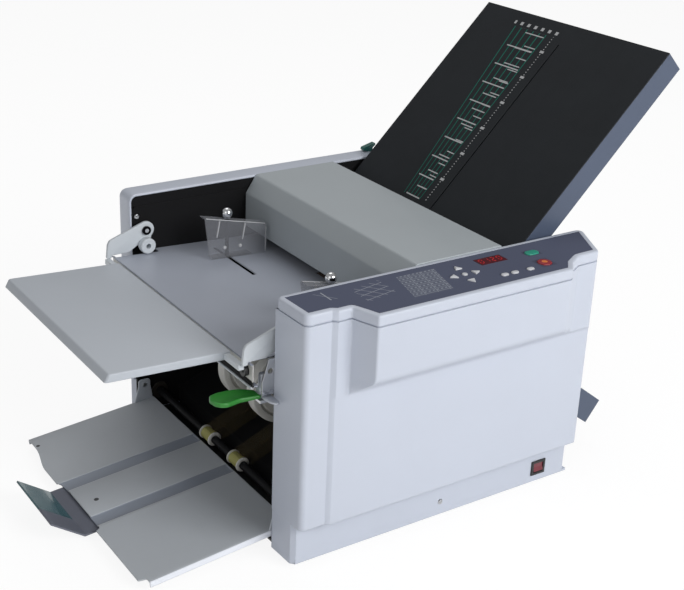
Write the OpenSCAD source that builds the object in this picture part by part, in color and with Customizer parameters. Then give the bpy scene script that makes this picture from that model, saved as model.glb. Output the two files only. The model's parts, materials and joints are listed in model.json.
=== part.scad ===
// Desk paper folding machine, friction feed, two buckle plates.
// Working frame: x runs with the paper from the front end of the side housings, y runs
// from the inner edge of the control-side housing to the far side, z is up from the desk.
// Sizes are in millimetres.

/* [Housings] */
// Clear width between the inner edges of the two side housings
inner_w = 350; // [335:1:370]
// Height of the top of the side housings above the desk
housing_h = 312; // [308:1:326]
// Length of the side housings along the paper path
housing_l = 425; // [418:1:440]
// Depth of the plain far housing
far_d = 32; // [28:1:40]
// Depth of the control-side housing below the bulge
near_d = 60.5; // [56:0.5:68]
// Depth of the control-side housing over the control bulge
bulge_d = 91.7; // [84:0.5:100]
// Height at which the face of the control bulge ends
bulge_z = 235; // [225:1:250]
// Height at which the sloped underside of the bulge meets the side panel
bulge_foot_z = 211; // [200:1:220]
// Wall of the moulded covers
wall = 3; // [2.2:0.1:4]
// Height of the top cap of the housings
cap_h = 13; // [10:0.5:16]
// Height of the shadow groove under the cap
groove_h = 1.4; // [0.8:0.1:2.5]
// Height of the base skirt's upper edge, where the side covers start
skirt_z = 59; // [52:1:66]
// How far the base skirt stands back from the side covers
skirt_set = 12; // [8:0.5:16]

/* [Frame] */
// Thickness of the steel side frames
frame_t = 4; // [3:0.5:6]
// Gap between a side frame and the inner edge of its cover
frame_set = 0.5; // [0.4:0.1:1]
// Floor thickness of the base tub
floor_t = 3; // [2:0.5:5]
// Height of the rubber feet
foot_h = 8; // [6:0.5:12]
// Radius of the rubber feet
foot_r = 11; // [8:0.5:14]
// Radius of the cross bars that tie the frames
tie_r = 6; // [4:0.5:8]

/* [Rollers] */
// Radius of the fold rollers
fold_r = 18; // [17.25:0.75:18.75]
// Radius of every roller shaft
shaft_r = 5; // [4:0.25:6]
// Radial running clearance of shafts in their bushes
run_gap = 0.05; // [0.02:0.01:0.1]
// Outer radius of the shaft bushes
bush_r = 9; // [8:0.25:11]
// Gap between two fold rollers, closed by the paper
nip_gap = 0.3; // [0.2:0.05:0.5]
// Radius of the rubber feed roller
feed_r = 26; // [22:0.5:28]
// Width of the rubber feed roller
feed_w = 60; // [40:1:80]
// Distance of the first nip from the mouth of fold plate 1
mouth_gap = 20; // [19:0.5:26]
// Tooth module of the gears
gear_m = 1.5; // [1.5:0.1:1.5]
// Face width of the gears
gear_w = 8; // [6:0.5:10]

/* [Feed table] */
// Slope of the feed table down towards the machine, in degrees
table_tilt = 2.74; // [0:0.1:5]
// Length of the folding feed table
table_l = 139; // [125:1:160]
// Width of the folding feed table
table_w = 280; // [270:1:300]
// Depth of the folded edge round the feed table
table_edge = 9; // [7:0.5:12]
// Sheet thickness of table, trays and guides
sheet_t = 1.5; // [1:0.1:2]
// Distance between the two paper side guides
guide_span = 220; // [200:1:236]
// Height of the paper side guides at their outer end
guide_h = 56; // [46:1:60]

/* [Fold plates] */
// Angle of the upper fold plate above the horizontal
plate1_angle = 45.1; // [44:0.1:46]
// Length of the upper fold plate
plate1_l = 375; // [340:1:400]
// Thickness of the upper fold plate
plate1_t = 30.7; // [26:0.1:32]
// Angle of the lower fold plate below the horizontal
plate2_angle = 37.2; // [36.5:0.1:38]
// Length of the lower fold plate
plate2_l = 214; // [190:1:230]
// Thickness of the lower fold plate
plate2_t = 34; // [30:0.5:36]
// Gap between the fold plates and the housing at each side
plate_gap = 8; // [7:0.5:20]
// Width of the slot in the face of the upper fold plate
slot_w = 2.2; // [1.8:0.1:4]

/* [Delivery] */
// Slope of the delivery tray, in degrees
tray_tilt = 5.7; // [4:0.1:8]
// Length of the delivery tray
tray_l = 172; // [150:1:185]
// Depth of the folded edge of the delivery tray
tray_edge = 7; // [5:0.5:9]
// Width of the two grooves in the delivery tray
groove_w = 20; // [14:0.5:26]
// Distance between the middles of the two grooves
groove_span = 84; // [70:1:100]
// Radius of the cream stacker wheels
wheel_r = 47.5; // [44:0.5:48]
// Thickness of the stacker wheels
wheel_w = 18; // [12:0.5:24]
// Distance between the two delivery belts
belt_span = 70; // [60:1:90]
// Width of the delivery belts
belt_w = 22; // [16:0.5:30]
// Thickness of the belts
belt_t = 1.2; // [0.8:0.1:1.6]
// Radius of the delivery rollers
conv_r = 7.5; // [7:0.25:9]

/* [Controls] */
// How far the keys stand above the control panel
key_up = 1.4; // [1.2:0.1:2.5]
// Clearance round a key in its hole
key_gap = 0.35; // [0.3:0.05:0.5]
// Inset of the control panel film from the edge of the cap
film_inset = 6.5; // [5:0.5:9]

/* [Hidden] */
$fn = 48;

// Clearances
soft_gap = 0.3;         // between pieces that touch on the real machine but ride apart
slide_gap = 0.3;        // round a piece that slides

// Side housings, in plan
far_y = inner_w + far_d;
frame_x0 = 8;                               // front end of the steel frames
frame_x1 = housing_l - 21;                  // rear end of the steel frames
frame_z0 = foot_h + floor_t;                // frames stand on the floor of the tub
cap_z = housing_h - cap_h;                  // underside of the cap
frame_z1 = cap_z - 3;
near_in = -frame_set;                       // inner face of the near frame
far_in = inner_w + frame_set;               // inner face of the far frame
mid_y = inner_w / 2;

// Bulge and step corners of the control-side housing, x from the front end
tub_x0 = 3;                                 // front end of the near skirt
step_x = 34;
step_run = 6;
step_out = 3.5;
bulge_x0 = 68;
bulge_x1 = 328;
rear_corner_x = housing_l - 32.5;
near_outline = [
    [2.5, 0], [4, -(near_d - step_out)], [step_x, -(near_d - step_out)],
    [step_x + step_run, -near_d], [bulge_x0 - 12.5, -near_d],
    [bulge_x0, -bulge_d], [bulge_x1, -bulge_d], [bulge_x1 + 14, -(bulge_d - 15.5)],
    [bulge_x1 + 33, -(near_d + 5)], [rear_corner_x, -(near_d + 4)], [housing_l, 0]];
side_outline = [
    [2.5, 0], [4, -(near_d - step_out)], [step_x, -(near_d - step_out)],
    [step_x + step_run, -near_d], [rear_corner_x + 2, -near_d], [housing_l, 0]];
cover_back = -(frame_set + frame_t);        // covers close onto the outer face of the frame

// Feed plane: slopes down with the paper
plane_x0 = -165.5;                          // outer end of the folding table
plane_z0 = housing_h - 65.5;
function plane_z(x) = plane_z0 - (x - plane_x0) * tan(table_tilt);
table_x1 = plane_x0 + table_l * cos(table_tilt);
plate_x0 = table_x1 + 2.8;                  // outer end of the fixed feed plate
feed_x = 200;
feed_z = plane_z(feed_x) + feed_r + soft_gap + 0.3;

// Fold rollers: roller 2 in the middle, 1 above the first nip, 3 behind, 4 below
nip1 = [276.1, plane_z(0) - 19.9];
pitch = 2 * fold_r + nip_gap;
roller2 = [nip1[0] + pitch / 2 * sin(plate1_angle), nip1[1] - pitch / 2 * cos(plate1_angle)];
roller1 = roller2 + pitch * [-sin(plate1_angle), cos(plate1_angle)];
roller3 = roller2 + pitch * [cos(10), sin(10)];
roller4 = roller2 + pitch * [cos(-100), sin(-100)];
roller_y0 = 4;                              // rollers start this far inside the frame edge
roller_y1 = inner_w - 4;

// Gears: equal gears on the fold rollers, an idler and a larger gear to the feed roller
fold_n = 24;
idler_n = 20;
feed_n = 36;
gear_y0 = -(frame_set + frame_t + 3.5 + gear_w);    // gears start here, near side
gear_slack = 0.25;                          // added to the centre distance of a gear pair
function gear_pr(n) = n * gear_m / 2;
mesh_fold = gear_pr(fold_n) + gear_pr(idler_n) + gear_slack;
mesh_feed = gear_pr(feed_n) + gear_pr(idler_n) + gear_slack;
feed_c = [feed_x, feed_z];
feed_dist = norm(roller1 - feed_c);
// The idler lies below the line from the feed roller to roller 1
idler_a = (pow(feed_dist, 2) + pow(mesh_feed, 2) - pow(mesh_fold, 2)) / (2 * feed_dist);
idler_h = sqrt(pow(mesh_feed, 2) - pow(idler_a, 2));
feed_dir = (roller1 - feed_c) / feed_dist;
idler = feed_c + idler_a * feed_dir + idler_h * [feed_dir[1], -feed_dir[0]];
function bearing(a, b) = atan2(b[1] - a[1], b[0] - a[0]);
// Phase of a gear that meshes with another of known phase, both in degrees
function mesh_phase(from, to, n_from, phase_from, n_to) =
    let (line = bearing(from, to), lead = (line - phase_from) * n_from / n_to)
    line + 180 + lead + 180 / n_to;
phase2 = 0;
phase1 = mesh_phase(roller2, roller1, fold_n, phase2, fold_n);
phase3 = mesh_phase(roller2, roller3, fold_n, phase2, fold_n);
phase4 = mesh_phase(roller2, roller4, fold_n, phase2, fold_n);
phase_idler = mesh_phase(roller1, idler, fold_n, phase1, idler_n);
phase_feed = mesh_phase(idler, feed_c, idler_n, phase_idler, feed_n);

// Motor and drive belts
motor_c = [frame_x1 - 74, frame_z0 + 49];
motor_boss_r = 12;
motor_r = 32;
motor_l = 80;
drive_y = gear_y0 - 12;                     // layer of the motor belt, near side
drive_w = 8;
motor_pulley_r = 11;
main_pulley_r = 22;
link_y = far_in + frame_t + 4;              // layer of the delivery drive belt, far side
link_small_r = 10;
link_big_r = 20;

// Delivery conveyor
conv_front = [39, 36];
conv_rise = 22.61;
conv_l = 228.6;
conv_rear = conv_front + conv_l * [cos(conv_rise), sin(conv_rise)];
// Point along the conveyor, s up from the front roller and n below its middle line
function conv_at(s, n) = conv_front + s * [cos(conv_rise), sin(conv_rise)] + n * [sin(conv_rise), -cos(conv_rise)];
bed_n = conv_r + belt_t + 6;                // dark bed plate under the belts
wheel_x = 101;
// The stacker wheels ride on the belts with a hair of clearance
wheel_c = conv_front + (wheel_x - conv_front[0]) / cos(conv_rise) * [cos(conv_rise), sin(conv_rise)]
    + [0, (conv_r + belt_t + run_gap + soft_gap + wheel_r) / cos(conv_rise)];
belt_ys = [mid_y - belt_span / 2, mid_y + belt_span / 2];

// Fold plates: mouth centre and direction
plate1_0 = nip1 + mouth_gap * [cos(plate1_angle), sin(plate1_angle)];
plate2_0 = roller2 + [33.2, -33];
plate_w = inner_w - 2 * plate_gap;
plate_y0 = plate_gap;
plate_y1 = plate_gap + plate_w;
stop1_s = 190;                              // rest place of the paper stops along the plates
stop2_s = 150;

// Centre cover
hump_x0 = 167;
hump_x1 = 303;
hump_z0 = plane_z(hump_x0) + 14.5;
hump_y0 = 0.5;
hump_y1 = inner_w - 0.5;
hump_pin = [hump_x1 - 6, housing_h - 25];

// Feed table pivot
pivot = [20.5, housing_h - 45];
collar = pivot - [1, 18.5];
table_y0 = mid_y + 5 - table_w / 2;
table_y1 = table_y0 + table_w;
table_lean = 4.5;                           // the outer edge of the table is folded outwards
hump_pin_r = 3;
arm_t = 4;
arm_y = 5;                                  // gap from the housing edge to the arm
arm_pin_r = 4;

// Delivery tray
tray_pin = [15, frame_z0 + 40];
tray_hinge = [26.7, frame_z0 + 20];         // machine-side edge of the tray
tray_y0 = 1;
tray_y1 = inner_w - 3;
ear_t = 2;
tray_pin_r = 3;
stop_out = 21;                              // how far the tray stop stands out at rest
flap_rise = 41;
flap_l = 48;

// Side guides
guide_x0 = 73;
guide_x1 = 160;
guide_ys = [mid_y - guide_span / 2, mid_y + guide_span / 2];
knob_x = 108;
knob_r = 6.8;
stem_r = 2.5;

// Lever
lever_c = [-6, 9];
lever_z = housing_h - 116;
lever_t = 4;
hub_r = 6.5;
lever_pin_r = 3;

// Controls, in plan
film_z = housing_h;
film_t = 0.5;
cap_top = 3;
nav_c = [211.3, -46.6];
nav_step = [15.5, 18.5];
start_c = [318.2, -32.8];
stop_c = [311.9, -61.6];
func_cs = [[249.5, -68.1], [263.5, -68.3], [285.3, -68.7]];
display_0 = [244.5, -35.3];
display_s = [37, 16.5];
board_0 = [190, -78];                       // circuit board under the panel
board_s = [145, 60];
board_t = 1.6;
board_z = cap_z - 3;

// Release catch of the upper fold plate
release_x = housing_l - 50;
release_y = inner_w + 18.5;
release_w = 8;

// Mains inlet in the rear cover
inlet = [60, frame_z0 + 32];

// Power switch and screws on the base skirt
switch_c = [356, 27];
switch_s = [21, 19];
rocker_in = 4;                              // depth of the rocker's axis behind the skirt
rocker_pin_r = 1.5;
skirt_y = -(near_d - step_out - 3.2) + skirt_set;
screw_x = 206;

// Point on the delivery tray: s up the slope from the machine-side edge, t above its face
function tray_local(s, t) = [tray_hinge[0] + s * cos(tray_tilt) - t * sin(tray_tilt),
    tray_hinge[1] + s * sin(tray_tilt) + t * cos(tray_tilt)];
tray_t = 3.2;                               // sheet of the tray, grooves included
groove_deep = 1.8;
groove_ys = [mid_y + 5 - groove_span / 2, mid_y + 5 + groove_span / 2];
stop_y0 = groove_ys[0] - 14;
stop_y1 = groove_ys[1] + 5;
stop_split = stop_y0 + 36;
stop_z = -tray_t - soft_gap - 2;

// The finished frame has its origin under the middle of the whole machine
flap_left = tray_local(-(tray_l + stop_out) - flap_l * cos(flap_rise), stop_z + flap_l * sin(flap_rise))[0];
plate1_top = plate1_0 + plate1_l * [cos(plate1_angle), sin(plate1_angle)]
    + plate1_t / 2 * [sin(plate1_angle), -cos(plate1_angle)];
origin_x = (min(plane_x0, flap_left) + plate1_top[0]) / 2;
origin_y = (far_y - bulge_d) / 2;

// ---- helpers ----
module place() translate([-origin_x, -origin_y, 0]) children();

// Extrudes an x-z outline from y0 to y1
module across(y0, y1) translate([0, y1, 0]) rotate([90, 0, 0]) linear_extrude(y1 - y0) children();

// A cylinder along y from y0 to y1 at an x-z point
module rod(c, r, y0, y1) translate([c[0], y1, c[1]]) rotate([90, 0, 0]) cylinder(r = r, h = y1 - y0);

// Rounded rectangle between two corners
module round_rect(a, b, r) {
    translate([a[0] + r, a[1]]) square([b[0] - a[0] - 2 * r, b[1] - a[1]]);
    translate([a[0], a[1] + r]) square([b[0] - a[0], b[1] - a[1] - 2 * r]);
    for (x = [a[0] + r, b[0] - r], z = [a[1] + r, b[1] - r]) translate([x, z]) circle(r);
}

// Stadium of length l along x and width w, centred
module stadium(l, w) {
    square([l - w, w], center = true);
    for (s = [-1, 1]) translate([s * (l - w) / 2, 0]) circle(d = w);
}

// Points of a loop round two circles, in steps that stay outside radii ra and rb
belt_steps = 20;
function belt_loop(a, ra, b, rb) =
    let (line = bearing(a, b), lean = acos((ra - rb) / norm(b - a)), wide = 1 / cos(90 / belt_steps))
    concat(
        [for (i = [0 : belt_steps]) let (g = line + lean + i * (360 - 2 * lean) / belt_steps)
            a + ra * wide * [cos(g), sin(g)]],
        [for (i = [0 : belt_steps]) let (g = line - lean + i * 2 * lean / belt_steps)
            b + rb * wide * [cos(g), sin(g)]]);

module belt(a, ra, b, rb, t, y0, y1) across(y0, y1) difference() {
    polygon(belt_loop(a, ra + t, b, rb + t));
    polygon(belt_loop(a, ra, b, rb));
}

// Spur gear outline with trapezoid teeth
module gear_2d(n, phase) {
    pr = gear_pr(n);
    circle(pr - 1.2 * gear_m, $fn = 60);
    for (i = [0 : n - 1]) rotate(phase + i * 360 / n)
        polygon([[pr - 1.4 * gear_m, -0.95 * gear_m], [pr, -0.66 * gear_m], [pr + 0.9 * gear_m, -0.3 * gear_m],
            [pr + 0.9 * gear_m, 0.3 * gear_m], [pr, 0.66 * gear_m], [pr - 1.4 * gear_m, 0.95 * gear_m]]);
}

module gear_at(c, n, phase, y0) translate([c[0], y0 + gear_w, c[1]]) rotate([90, 0, 0])
    linear_extrude(gear_w) gear_2d(n, phase);

// Flanged pulley on a shaft
module pulley_at(c, r, y0, w) {
    rod(c, r, y0, y0 + w);
    rod(c, r + 2, y0 - 1.2, y0);
    rod(c, r + 2, y0 + w, y0 + w + 1.2);
}

// Local frame of a fold plate: x along the plate, z out of its upper face
module on_plate1() translate([plate1_0[0], 0, plate1_0[1]]) rotate([0, -plate1_angle, 0]) children();
module on_plate2() translate([plate2_0[0], 0, plate2_0[1]]) rotate([0, plate2_angle, 0]) children();
// Local frame of the feed plane, x along the slope from the outer end of the table
module on_plane() translate([plane_x0, 0, plane_z0]) rotate([0, table_tilt, 0]) children();
// Local frame of the delivery tray, x up the slope, zero at the machine-side edge
module on_tray() translate([tray_hinge[0], 0, tray_hinge[1]]) rotate([0, -tray_tilt, 0]) children();

// Shaft places of all rollers in the side frames
shafts = [roller1, roller2, roller3, roller4, feed_c, conv_front, conv_rear, wheel_c];

// ---- base and frame ----
module base_tub() color([0.82, 0.83, 0.86]) difference() {
    union() {
        translate([frame_x0, skirt_y, foot_h])
            cube([frame_x1 - frame_x0, far_y - skirt_set - skirt_y, floor_t]);
        // near skirt, closed round the front end of the frame
        translate([0, 0, foot_h]) linear_extrude(skirt_z - foot_h - soft_gap) difference() {
            polygon([[tub_x0, -soft_gap], [tub_x0 + 1, skirt_y + 5], [tub_x0 + 6, skirt_y],
                [frame_x1 - 6, skirt_y], [frame_x1, skirt_y + 6], [frame_x1, cover_back],
                [frame_x0 - soft_gap, cover_back], [frame_x0 - soft_gap, -soft_gap]]);
            translate([tub_x0 + 1 + wall, skirt_y + wall])
                square([frame_x1 - tub_x0 - 2 * wall - 4, -skirt_y - wall + cover_back - wall]);
            translate([frame_x0 + 1, cover_back - wall - 1])
                square([frame_x1 - frame_x0 - wall - 4, wall + 2]);
        }
        // far skirt
        translate([0, 0, foot_h]) linear_extrude(skirt_z - foot_h - soft_gap) difference() {
            translate([frame_x0, far_in + frame_t])
                square([frame_x1 - frame_x0, far_y - skirt_set - far_in - frame_t]);
            translate([frame_x0 + wall, far_in + frame_t - 1])
                square([frame_x1 - frame_x0 - 2 * wall, far_y - skirt_set - far_in - frame_t - wall + 1]);
        }
    }
    translate([switch_c[0] - switch_s[0] / 2 + 1.5, skirt_y - 1, switch_c[1] - switch_s[1] / 2 + 1.5])
        cube([switch_s[0] - 3, wall + 2, switch_s[1] - 3]);
}

module rubber_feet() color([0.12, 0.12, 0.13])
    for (x = [frame_x0 + 28, frame_x1 - 28], y = [skirt_y + 22, far_y - skirt_set - 22])
        translate([x, y, 0]) rotate_extrude()
            polygon([[0, 0], [foot_r - 1.5, 0], [foot_r, 1.5], [foot_r - 1, foot_h], [0, foot_h]]);

module frame_plate(y0) difference() {
    across(y0, y0 + frame_t) round_rect([frame_x0, frame_z0], [frame_x1, frame_z1], 4);
    for (c = shafts) rod(c, bush_r, y0 - 1, y0 + frame_t + 1);
    rod(hump_pin, hump_pin_r + run_gap, y0 - 1, y0 + frame_t + 1);
    children();
}

module near_frame() color([0.16, 0.17, 0.18]) {
    frame_plate(near_in - frame_t) rod(motor_c, motor_boss_r + run_gap, near_in - frame_t - 1, near_in + 1);
    // stub axle of the idler gear
    rod(idler, 4, gear_y0 - 1.5, near_in - frame_t);
}

module far_frame() color([0.1, 0.1, 0.11]) {
    frame_plate(far_in);
    // bed plate below the delivery belts, with a lip down to the floor
    across(near_in, far_in - soft_gap) polygon([
        [conv_at(25, bed_n)[0], frame_z0], conv_at(25, bed_n), conv_at(222, bed_n),
        conv_at(222, bed_n + sheet_t), conv_at(27, bed_n + sheet_t) + [0, -1],
        [conv_at(25, bed_n)[0] + sheet_t, frame_z0]]);
}

// Turned bars and pins that tie the frames or carry other pieces
module cross_bars() color([0.55, 0.56, 0.58]) {
    for (c = [[frame_x1 - 16, housing_h - 62], [frame_x1 - 16, rear_z + 50], [150, frame_z0 + 12]])
        rod(c, tie_r, near_in, far_in);
    // pins that carry the two fold plates
    for (s = [30, 60], c = [
            plate1_0 + s * [cos(plate1_angle), sin(plate1_angle)] - 6 * [-sin(plate1_angle), cos(plate1_angle)],
            plate2_0 + s * [cos(plate2_angle), -sin(plate2_angle)]]) {
        rod(c, 5, near_in, plate_y0);
        rod(c, 5, plate_y1, far_in);
    }
    // pivots of the feed table, with a wider head
    rod(pivot, arm_pin_r, near_in, arm_y + arm_t + soft_gap);
    rod(pivot, arm_pin_r + 1.5, arm_y + arm_t + soft_gap, arm_y + arm_t + 3);
    rod(pivot, arm_pin_r, inner_w - arm_y - arm_t - soft_gap, far_in);
    rod(pivot, arm_pin_r + 1.5, inner_w - arm_y - arm_t - 3, inner_w - arm_y - arm_t - soft_gap);
    // pivots of the delivery tray
    rod(tray_pin, tray_pin_r, near_in, tray_y0 + ear_t + 1);
    rod(tray_pin, tray_pin_r, tray_y1 - ear_t - 1, far_in);
}

// ---- covers ----
module bulge_profile(inset) translate([0, 0]) polygon([
    [wall, cap_z + 2], [-(bulge_d - inset), cap_z + 2], [-(bulge_d - inset), bulge_z + inset / 2 + 4],
    [-(bulge_d - inset - 2), bulge_z + inset / 2], [-(near_d - 4 - inset), bulge_foot_z + inset / 2],
    [wall, bulge_foot_z + inset / 2]]);

// The y-z bulge profile run along x
module bulge_run(inset) translate([bulge_x0 - 20, 0, 0]) rotate([90, 0, 90])
    linear_extrude(bulge_x1 - bulge_x0 + 80) bulge_profile(inset);

module near_shell(inset, z0, z1) {
    translate([0, 0, z0]) linear_extrude(z1 - z0) offset(delta = -inset) polygon(side_outline);
    intersection() {
        translate([0, 0, bulge_foot_z - 2]) linear_extrude(z1 - bulge_foot_z + 2)
            offset(delta = -inset) polygon(near_outline);
        bulge_run(inset);
    }
}

module near_cover() color([0.80, 0.82, 0.87]) difference() {
    near_shell(0, skirt_z, cap_z);
    difference() {
        near_shell(wall, skirt_z - 1, cap_z + 1);
        // inner rim round the frame
        translate([-1, -wall, skirt_z - 2]) cube([wall + 6, wall + 1, cap_z]);
    }
    // the steel frame fills the open back
    translate([frame_x0 - soft_gap, cover_back, 0])
        cube([frame_x1 - frame_x0 + 2 * soft_gap, -cover_back + 1, cap_z + 1]);
    // clear of the table arm pivot and lever bracket
    translate([frame_x1 - 1, cover_back, skirt_z - 1]) cube([6, -cover_back + 1, cap_z - skirt_z - 10]);
}

module far_cover() color([0.78, 0.80, 0.84]) difference() {
    across(inner_w, far_y) round_rect([3, skirt_z], [housing_l, housing_h], 7);
    across(inner_w + wall + 1.5, far_y - wall)
        round_rect([3 + wall + 1, skirt_z - 20], [housing_l - wall - 1, housing_h - wall - 1], 4);
    across(inner_w - 1, inner_w + wall + 2)
        translate([frame_x0 - soft_gap, 0]) square([frame_x1 - frame_x0 + 2 * soft_gap, frame_z1 + soft_gap]);
    across(inner_w - 1, far_y - wall) translate([frame_x1, 0]) square([housing_l - wall - frame_x1 - 1, cap_z]);
    translate([3 + wall, inner_w - 1, skirt_z - 1]) cube([housing_l - 2 * wall - 4, far_d - wall + 1, 6]);
    // slot of the fold plate release
    translate([release_x - 7, release_y - 0.5, housing_h - wall - 2]) cube([14, release_w + 1, wall + 3]);
}

// Plan area of the control panel film
module film_area(grow = 0) offset(delta = grow - film_inset) intersection() {
    polygon(near_outline);
    translate([0, -bulge_d]) square([housing_l, bulge_d]);
}

module control_cap() color([0.82, 0.84, 0.88]) difference() {
    union() {
        translate([0, 0, cap_z + groove_h]) linear_extrude(cap_h - groove_h - 1) polygon(near_outline);
        translate([0, 0, housing_h - 1]) linear_extrude(1) offset(delta = -0.8) polygon(near_outline);
        translate([0, 0, cap_z]) linear_extrude(groove_h) offset(delta = -1.2) polygon(near_outline);
    }
    translate([0, 0, cap_z - 1]) linear_extrude(cap_h - cap_top + 1) offset(delta = -wall) polygon(near_outline);
    translate([0, 0, film_z - film_t]) linear_extrude(film_t + 1) film_area(0.1);
    for (k = keys) translate([k[0][0], k[0][1], film_z - 9]) linear_extrude(10)
        key_area(k[1], k[2], key_gap);
    translate([display_0[0], display_0[1], film_z - 9]) cube([display_s[0], display_s[1], 10]);
}

module panel_film() color([0.33, 0.36, 0.44]) difference() {
    translate([0, 0, film_z - film_t]) linear_extrude(film_t) film_area();
    for (k = keys) translate([k[0][0], k[0][1], film_z - 2]) linear_extrude(4)
        key_area(k[1], k[2], key_gap);
    translate([display_0[0], display_0[1], film_z - 2]) cube([display_s[0], display_s[1], 4]);
}

// Keys: plan centre, kind, turn. Kinds: 0 arrow, 1 start, 2 stop, 3 round, 4 oval
keys = [[nav_c + [3, nav_step[1] - 0.8], 0, 90], [nav_c - [3, nav_step[1] - 0.6], 0, -90],
    [nav_c - [nav_step[0], 0], 0, 180], [nav_c + [nav_step[0], -0.8], 0, 0],
    [nav_c, 3, 0], [func_cs[0], 4, 0], [func_cs[1], 4, 0], [func_cs[2], 4, 0],
    [start_c, 1, 0], [stop_c, 2, 0]];

module key_area(kind, turn, grow) rotate(turn) {
    if (kind == 0) offset(delta = grow) polygon([[-4, -5], [5, 0], [-4, 5]]);
    if (kind == 1) stadium(18 + 2 * grow, 11 + 2 * grow);
    if (kind == 2) offset(delta = grow) circle(r = 8.6, $fn = 8);
    if (kind == 3) circle(r = 3.2 + grow);
    if (kind == 4) stadium(9.5 + 2 * grow, 6 + 2 * grow);
}

module key(i) translate([keys[i][0][0], keys[i][0][1], 0]) {
    translate([0, 0, film_z - 6]) linear_extrude(6 + key_up) key_area(keys[i][1], keys[i][2], 0);
    // flange that stops the key under the cap
    translate([0, 0, film_z - cap_top - soft_gap - 1.5]) linear_extrude(1.5)
        key_area(keys[i][1], keys[i][2], 1.4);
}

module key_up_arrow() color([0.9, 0.9, 0.9]) key(0);
module key_down_arrow() color([0.9, 0.9, 0.9]) key(1);
module key_left_arrow() color([0.9, 0.9, 0.9]) key(2);
module key_right_arrow() color([0.9, 0.9, 0.9]) key(3);
module key_ok() color([0.9, 0.9, 0.9]) key(4);
module key_menu_1() color([0.8, 0.8, 0.82]) key(5);
module key_menu_2() color([0.8, 0.8, 0.82]) key(6);
module key_menu_3() color([0.8, 0.8, 0.82]) key(7);
module start_key() color([0.15, 0.5, 0.4]) key(8);
module stop_key() color([0.75, 0.12, 0.15]) key(9);

// Circuit board under the panel, carrying the dark display window
module display_board() color([0.45, 0.05, 0.08]) {
    translate([board_0[0], board_0[1], board_z]) cube([board_s[0], board_s[1], board_t]);
    for (x = [4, board_s[0] - 4], y = [4, board_s[1] - 4])
        translate([board_0[0] + x, board_0[1] + y, board_z + board_t])
            cylinder(r = 2.5, h = housing_h - cap_top - board_z - board_t);
    translate([display_0[0] + 0.2, display_0[1] + 0.2, board_z + board_t])
        cube([display_s[0] - 0.4, display_s[1] - 0.4, housing_h + soft_gap - board_z - board_t]);
}

module switch_frame() color([0.06, 0.06, 0.07]) translate([switch_c[0], skirt_y, switch_c[1]]) difference() {
    union() {
        translate([-switch_s[0] / 2, -1.8, -switch_s[1] / 2]) cube([switch_s[0], 1.8, switch_s[1]]);
        translate([-switch_s[0] / 2 + 1.7, -0.1, -switch_s[1] / 2 + 1.7])
            cube([switch_s[0] - 3.4, 14, switch_s[1] - 3.4]);
    }
    translate([-switch_s[0] / 2 + 3, -3, -switch_s[1] / 2 + 3]) cube([switch_s[0] - 6, 14, switch_s[1] - 6]);
    // bearing of the rocker
    translate([-switch_s[0] / 2, rocker_in, 0]) rotate([0, 90, 0]) cylinder(r = rocker_pin_r + run_gap, h = switch_s[0]);
}

module switch_rocker() color([0.75, 0.1, 0.12]) translate([switch_c[0], skirt_y + rocker_in, switch_c[1]])
    rotate([-8, 0, 0]) {
        translate([-switch_s[0] / 2 + 3 + slide_gap, 0, 0]) rotate([90, 0, 90])
            linear_extrude(switch_s[0] - 6 - 2 * slide_gap)
                polygon([[-5.6, -5.6], [-4.7, 0], [-5.6, 5.6], [0, 5.2], [2.5, 0], [0, -5.2]]);
        // trunnion pins
        translate([-switch_s[0] / 2 + 2, 0, 0]) rotate([0, 90, 0]) cylinder(r = rocker_pin_r, h = switch_s[0] - 4);
    }

module cover_screws() color([0.5, 0.5, 0.52]) {
    translate([screw_x, skirt_y, foot_h + 17]) rotate([90, 0, 0]) screw_head();
    for (p = [[12.6, cap_z - 16], [frame_x1 - 14, cap_z - 16], [frame_x1 - 14, skirt_z + 41]])
        translate([p[0], far_in, p[1]]) rotate([90, 0, 0]) screw_head();
    for (p = [[frame_x1 - 14, cap_z - 16], [frame_x1 - 14, skirt_z + 41]])
        translate([p[0], near_in, p[1]]) rotate([-90, 0, 0]) screw_head();
}

module screw_head() difference() {
    cylinder(r1 = 3.6, r2 = 2.6, h = 1.6);
    for (a = [0, 90]) rotate(a) translate([-2, -0.4, 0.8]) cube([4, 0.8, 2]);
}

module rear_cover() color([0.78, 0.80, 0.84]) difference() {
    translate([frame_x1 - 6, near_in, frame_z0]) cube([2, far_in - near_in, cap_z - 14 - frame_z0]);
    translate([frame_x1 - 8, plate_y0 - 3, rear_z - 26.5]) cube([6, plate_w + 6, 53]);
    translate([frame_x1 - 8, inlet[0] - 14, inlet[1] - 10]) cube([6, 28, 20]);
}
rear_z = plate2_0[1] - (frame_x1 - 5 - plate2_0[0]) * tan(plate2_angle);

module power_inlet() color([0.07, 0.07, 0.08]) translate([frame_x1 - 4, inlet[0], inlet[1]]) difference() {
    union() {
        translate([-22, -13.7, -9.7]) cube([22, 27.4, 19.4]);
        translate([0, -17, -12]) cube([2, 34, 24]);
    }
    translate([-14, -11, -7]) cube([18, 22, 14]);
    for (dy = [-7, 7]) for (dz = [-2]) translate([-16, dy - 1, dz - 2]) cube([4, 2, 4]);
}

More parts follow.
